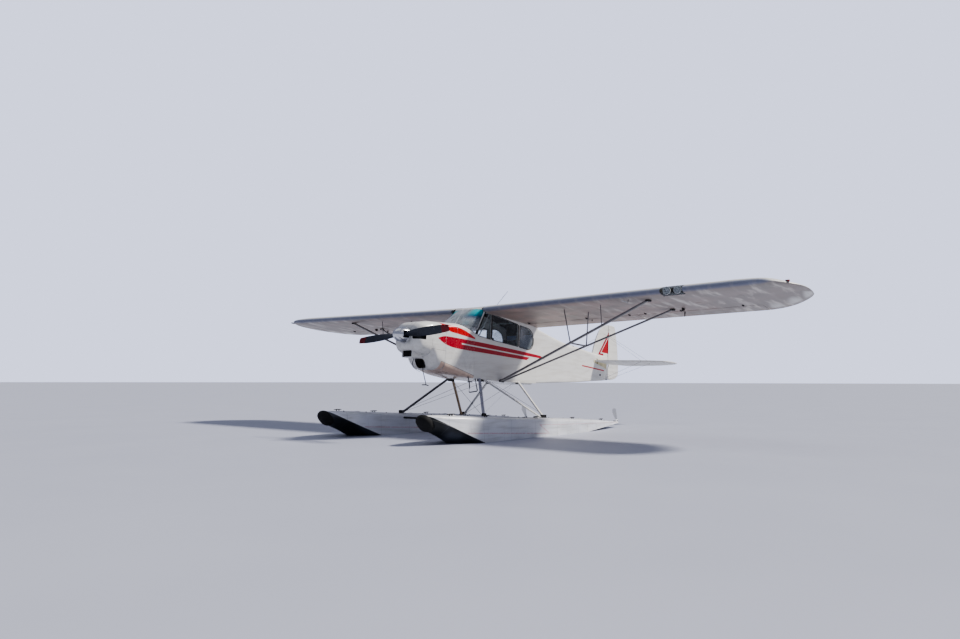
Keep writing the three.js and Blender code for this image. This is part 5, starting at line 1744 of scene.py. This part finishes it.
def pad(name, size, centre, lean, replaces=()):
    """A cushion"""
    length, width, height = (side / 2 for side in size)
    outline = round_corners([(-length, -width), (length, -width), (length, width), (-length, width)], 42, 6)
    turn = Matrix.Rotation(lean, 3, "Y")
    rings = []
    for z, inset in ((-height, 14), (10 - height, 3), (0, 0), (height - 10, 3), (height, 14)):
        ring = [turn @ Vector((u, v, z)) for u, v in grown(outline, -inset)]
        rings.append([air(*(Vector(centre) + p)) for p in ring])
    soft = linked(name, joined(name, [loft(rings)]))
    remesh = soft.modifiers.new("remesh", "REMESH")
    remesh.mode, remesh.voxel_size = "VOXEL", PAD_GRID
    soft = linked(name, final_mesh(soft))
    before = [v.co.copy() for v in soft.data.vertices]
    cloth = soft.modifiers.new("cloth", "CLOTH")
    cloth.settings.use_pressure = True
    cloth.settings.uniform_pressure_force = 4
    cloth.settings.effector_weights.gravity = 0
    cloth.point_cache.frame_start, cloth.point_cache.frame_end = 1, PAD_FRAMES
    for number in range(1, PAD_FRAMES + 1):
        bpy.context.scene.frame_set(number)
    mesh = final_mesh(soft)
    bpy.context.scene.frame_set(1)
    for vertex, start in zip(mesh.vertices, before):
        shift = vertex.co - start
        if shift.length > PAD_SWELL:
            vertex.co = start + shift.normalized() * PAD_SWELL
    soft = linked(name, mesh)
    smooth = soft.modifiers.new("smooth", "SUBSURF")
    smooth.levels = smooth.render_levels = 1
    made = placed(name, final_mesh(soft), "seat", replaces=replaces, crease=60)


for name, x, rise, tall in (("front", -320, 20, 386), ("rear", -1020, 0, 470)):
    pad(f"seat_cushion_{name}", (392, 372, 66), (x + 40, 0, -858 + rise), 0, (f"seat_{name}",))
    pad(f"seat_back_{name}", (52, 372, tall), (x - 214, 0, -823 + rise + tall / 2), -0.18)
    low = rise - 906
    legs = [rod((x + dx, y, -1114), (x + dx, y, low + 1)) for dx in (-110, 190) for y in (-150, 150)]
    for y in (-150, 150):
        legs.append(rod((x - 150, y, low), (x + 230, y, low), UP))
        legs.append(rod((x - 168, y, low), (x - 168 - tall * 0.22, y, -830 + rise + tall)))
    legs += [rod((x + dx, -150, low), (x + dx, 150, low), UP) for dx in (-110, 190)]
    round_tubes(f"seat_frame_{name}", legs, "steel", 0.02)
    bends = ((330, -1112), (330, -1000), (322, -900), (300, -820), (288, -770))
    stick = route([(x + ahead, 0, z) for ahead, z in bends], SIDE_ON)
    round_tubes(f"stick_{name}", [stick], "steel", 0.018, 14)
    grip = [(-792, 9), (-790, 14), (-760, 15), (-730, 14), (-700, 15.5), (-682, 13), (-676, 6)]
    grip_shell = lathe(grip, 20, lambda a, u, v: air(x + 288 - (a + 770) * 0.25 + u, v, a))
    piece(f"grip_{name}", [grip_shell], "trim")

# Instruments
DIALS = [(y, -505, 40) for y in (-190, -95, 0, 95, 190)]
DIALS += [(y, -592, 29) for y in (-225, -150, -75, 75, 150, 225)]
bezels, dials, marks, needles = [], [], [], []
for k, (y, z, r) in enumerate(DIALS):
    at = shaft(0, y, z)
    rim = [(250, r - 6), (250, r + 2), (244, r + 2), (242, r - 1), (242, r - 5), (247, r - 6)]
    bezels.append(lathe(rim, 32, at, caps=False, round_trip=True))
    dials.append(lathe([(249.5, 0.5), (249.5, r - 5), (247.5, r - 5), (247.5, 0.5)], 32, at))
    for turn in circle(12):
        mark = air(247.4, y + (r - 10) * math.sin(turn), z + (r - 10) * math.cos(turn))
        marks.append((mark, Vector((-1, 0, 0))))
    s, c = math.sin(0.7 + k * 1.3), math.cos(0.7 + k * 1.3)
    needle = [(y + 1.6 * c, z - 1.6 * s), (y + (r - 12) * s, z + (r - 12) * c), (y - 1.6 * c, z + 1.6 * s)]
    needles.append(plate_shell(needle, 246.4, 247.0, crosswise))
piece("dial_bezels", bezels, "trim", crease=30)
piece("dial_faces", dials, "filter", crease=30)
rivets("dial_marks", marks, "chalk", radius=0.0018, height=0.0004)
piece("dial_needles", needles, "chalk")
pedals = []
for x, reach in ((120, 130), (-560, 240)):
    for y in (-reach, reach):
        pedals.append(rounded_box((x - 4, x + 4), (y - 42, y + 42), (-1085, -1000), 10))
        pedals.append(rounded_box((x - 8, x + 8), (y - 8, y + 8), (-1116, -1040), 3))
hardware("pedals", pedals)


# Wing fittings, pitot tube, fuel caps, inspection covers, hinge brackets
def under(x, y):
    """The wing's lower skin between its ribs"""
    return wing_z(x, y, -1) + sag(x, y)


def over(x, y):
    """The wing's upper skin between its ribs"""
    return wing_z(x, y, 1) - sag(x, y)


# Columns: surface, y, offset along Y, outline in X and in Z from the hinge
HORNS = (("aileron", 3360, 12, [(-1262, -36), (-1300, -38), (-1292, -96), (-1276, -122), (-1264, -118)]),
         ("flap", 1680, 22, [(-1293, -30), (-1330, -30), (-1318, -66), (-1301, -64)]))
COVERS = ((-800, 700), (-800, 1600), (-620, 2400), (-800, 2900), (-800, 3800), (-560, 4500))
for side, hand in SIDES:
    parts = []
    for x, y, length in ((-265, 3262, 74), (-1046, 3276, 60)):
        z = under(x, y)
        limits = (x - length / 2, x + length / 2), (hand * y - 30, hand * y + 34), (z - 26, z + 6)
        parts.append(rounded_box(*limits, 8))
    for y in (480, 1680, 2480, 2760, 3360, 4310):
        z = under(-1175, y)
        bracket = [(-1120, z + 4), (-1198, z + 4), (-1196, z - 16), (-1170, z - 18)]
        parts += [plate_shell(bracket, hand * y + low, hand * y + low + 4, lengthwise) for low in (-9, 5)]
    y, z = hand * 3450, under(-1046, 3450)
    parts.append(rounded_box((-1075, -1020), (y - 12, y + 12), (z - 30, z + 5), 6))
    parts.append(lathe([(y - 15, 16), (y + 15, 16)], 20, axle(-1046, z - 26)))
    hardware(f"wing_fittings_{side}", parts)
    for name, y, low, outline in HORNS:
        horn = [(u, hinge_z(y) + v) for u, v in outline]
        horn_shell = plate_shell(horn, hand * y + low, hand * y + low + 4, lengthwise)
        hardware(f"{name}_horn_{side}", [horn_shell], f"{name}_{side}_body")
    rim = [(-2.4, 1), (-2.4, 44), (-1, 49), (6, 49)]
    covers = [lathe(rim, 32, lambda a, u, v: air(x + u, hand * (y + v), a + under(x + u, y + v)))
              for x, y in COVERS]
    piece(f"wing_covers_{side}", covers, "wing", crease=30, slot="painted_metal")
    cap = [(-6, 46), (3, 46), (5, 42), (7, 30), (10, 28), (16, 26), (17, 22), (17, 1)]
    cap_shell = lathe(cap, 40, lambda a, u, v: air(-420 + u, hand * (900 + v), a + over(-420 + u, 900 + v)))
    piece(f"fuel_cap_{side}", [cap_shell], "metal", crease=30)
    band = bent(lambda x, edge, lift: air(x, hand * edge[0], wing_z(x, edge[0], 1) - edge[1] + lift),
                steps(-30, -1590, 50), ((331, 8), (360, 0.5), (384, 0)), (1.4, -0.6))
    piece(f"root_strip_{side}", [band], "sheet", crease=30)
pitot = [(x, 3000, under(-40, 3000) + z) for x, z in ((-160, 6), (-150, -44), (-120, -62), (40, -62))]
round_tubes("pitot", [route(pitot, UP)], "metal", 0.012)
for side, hand in SIDES:
    foot, _, front_top, _ = wing_lines(hand)
    low, high = foot.lerp(front_top, 0.717), air(-300, hand * 2450, under(-300, 2450) + 6)
    round_tubes(f"small_strut_{side}", [line(low, high, FORWARD, 2)], "strut", 0.014, 10)
    shoe = [(-670, -1196), (-540, -1196), (-528, -1172), (-560, -1150), (-660, -1150), (-688, -1172)]
    parts = [plate_shell(shoe, 357, 362.5, wall_at(hand))]
    parts.append(plate_shell(shoe[:3] + [(-600, -1160)], 362, 366, wall_at(hand)))
    parts.append(blob((-606, hand * 372, -1180), (58, 16, 20), rows=12, count=20, power=0.8))
    hardware(f"strut_shoe_{side}", parts)


# Tail: brace wires, fittings, lift handles, trim slots
def half_at(x):
    return blended(REAR_FUSELAGE, x)[1]


def side_sheet(rows, hand, lift, count=10):
    """A thin cover on the flat of the rear fuselage's side; rows are x, low z and high z"""
    stations = [blended(rows, x) for x in steps(rows[0][0], rows[-1][0], count)]

    def place(station, share, depth):
        x, low, high = station
        return air(x, hand * (half_at(x) + depth), low + (high - low) * share)
    return bent(place, stations, steps(0, 1, 3), (lift, lift - 1.6))


braces, ends = [], []
for hand in (1, -1):
    y = hand * 1064
    for x, fin_x, low_x in ((-4330, -4640, -4560), (-4740, -4770, -4770)):
        braces.append(rod((x, y, -458), (fin_x, hand * 16, 170)))
        braces.append(rod((x, y, -492), (low_x, hand * 26, -836)))
        ends.append(blob((x, y, -475), (22, 9, 24), rows=10, count=16))
    ends.append(blob((-4693, hand * 50, -822), (34, 10, 18), rows=10, count=16))
    ends.append(blob((-3089, hand * 199, -282), (26, 12, 10), rows=10, count=16))
round_tubes("tail_wires", braces, "wire", 0.004, 8)
piece("tail_fittings", ends, "steel")
for side, hand in SIDES:
    # Trim slot covers; their cream tone is painted sunlight
    slot_rows = [(-4690, -600, -452), (-4400, -560, -420), (-4008, -520, -468)]
    piece(f"trim_slot_{side}", [side_sheet(slot_rows, hand, 2.2)], "cream", crease=30)
    # the lift-handle openings are black patches: painted shade inside them
    opening = [side_sheet([(-4180, -540, -424), (-4150, -540, -424)], hand, 3.2, 1)]
    y = half_at(-4344)
    opening.append(blob((-4344, hand * (y - 2), -759), (34, 5, 24), rows=12, count=24))
    piece(f"handle_hole_{side}", opening, "filter")

# Whip antenna, boarding step, door handle
roof_top = wing_z(-690, 0, 1)
whip = [(-690 - 440 * t, 0, roof_top + (525 - roof_top) * t) for t in steps(0, 0.985, 10)]
round_tubes("whip", [route(whip, SIDE_ON)], "trim", 0.008, 10, replaces=("antenna",))
base = [(roof_top + rise, radius) for rise, radius in ((-8, 20), (-2, 21), (4, 14), (14, 8), (24, 6))]
piece("whip_base", [lathe(base, 24, lambda a, u, v: air(-690 + u - (a - roof_top) * 0.7, v, a))], "trim")
rung = [(80, 340, -1176), (77, 368, -1290), (78, 398, -1380), (92, 402, -1396), (180, 402, -1411),
        (272, 400, -1426), (284, 398, -1416), (272, 394, -1340), (262, 370, -1250), (262, 334, -1160)]
round_tubes("boarding_rung", [route(rung, UP)], "steel", 0.018, replaces=("boarding_step",))
handle = [rounded_box((-1000, -930), (-372, -361), (-566, -552), 4),
          rounded_box((-948, -932), (-366, -359), (-572, -546), 5)]
piece("door_handle", handle, "metal", "door_lower_body", crease=30)


# Rivets and screws, grown on the surfaces by Geometry Nodes
def spaced(ring, spacing):
    """Equal steps along a closed outline: the edge's start, its end and the share of it"""
    travelled = 0.0
    for start, end in zip(ring, ring[1:] + ring[:1]):
        length = math.dist(start, end)
        while travelled < length:
            yield start, end, travelled / length
            travelled += spacing
        travelled -= length


def ring_rivets(table, x, spacing, keep=lambda z: True):
    """Rivets around the body at x, where keep(z) is true"""
    rows = []
    for start, end, t in spaced(body_ring(blended(table, x), 0, 8), spacing):
        p = start.lerp(end, t)
        normal = (end - start).cross(Vector(AFT_AXIS)).normalized()
        if normal.dot(p - air(x, 0, -700)) < 0:
            normal = -normal
        if keep((p - air(0, 0, 0)).dot(Vector(UP_AXIS)) * 1000):
            rows.append((p, normal))
    return rows


heads = []
for x in (846, 966):
    heads += ring_rivets(NOSE, x, 0.062)
heads += ring_rivets(NOSE, 1140, 0.075, lambda z: z > -900)
for x in (816, 600, 330, 152):
    heads += ring_rivets(BOOT, x, 0.05, lambda z: z < sill_z(x) - 8)
rivets("nose_rivets", heads, "metal", radius=0.0042, height=0.0016, sides=8)
for side, hand in SIDES:
    spots = [float_point(x, share, hand, outward, 0.4)
             for x in steps(1900, -3000, 196) for outward in (1, -1) for share in (0.06, 0.66)]
    spots += [float_point(x, share, hand, outward, 0.2)
              for x in steps(1500, -2700, 12) for share in steps(0.1, 0.62, 12) for outward in (1, -1)]
    rivets(f"float_rivets_{side}", spots, "cover", radius=0.0045, height=0.0016)
screws = []
for hand in (1, -1):
    for outline in windows_of(hand):
        for (x0, z0), (x1, z1), t in spaced(grown(outline, 4), 70):
            screws.append((air(x0 + (x1 - x0) * t, hand * 361.8, z0 + (z1 - z0) * t), Vector((0, hand, 0))))
rivets("window_screws", screws, "metal", radius=0.0032, height=0.0012)
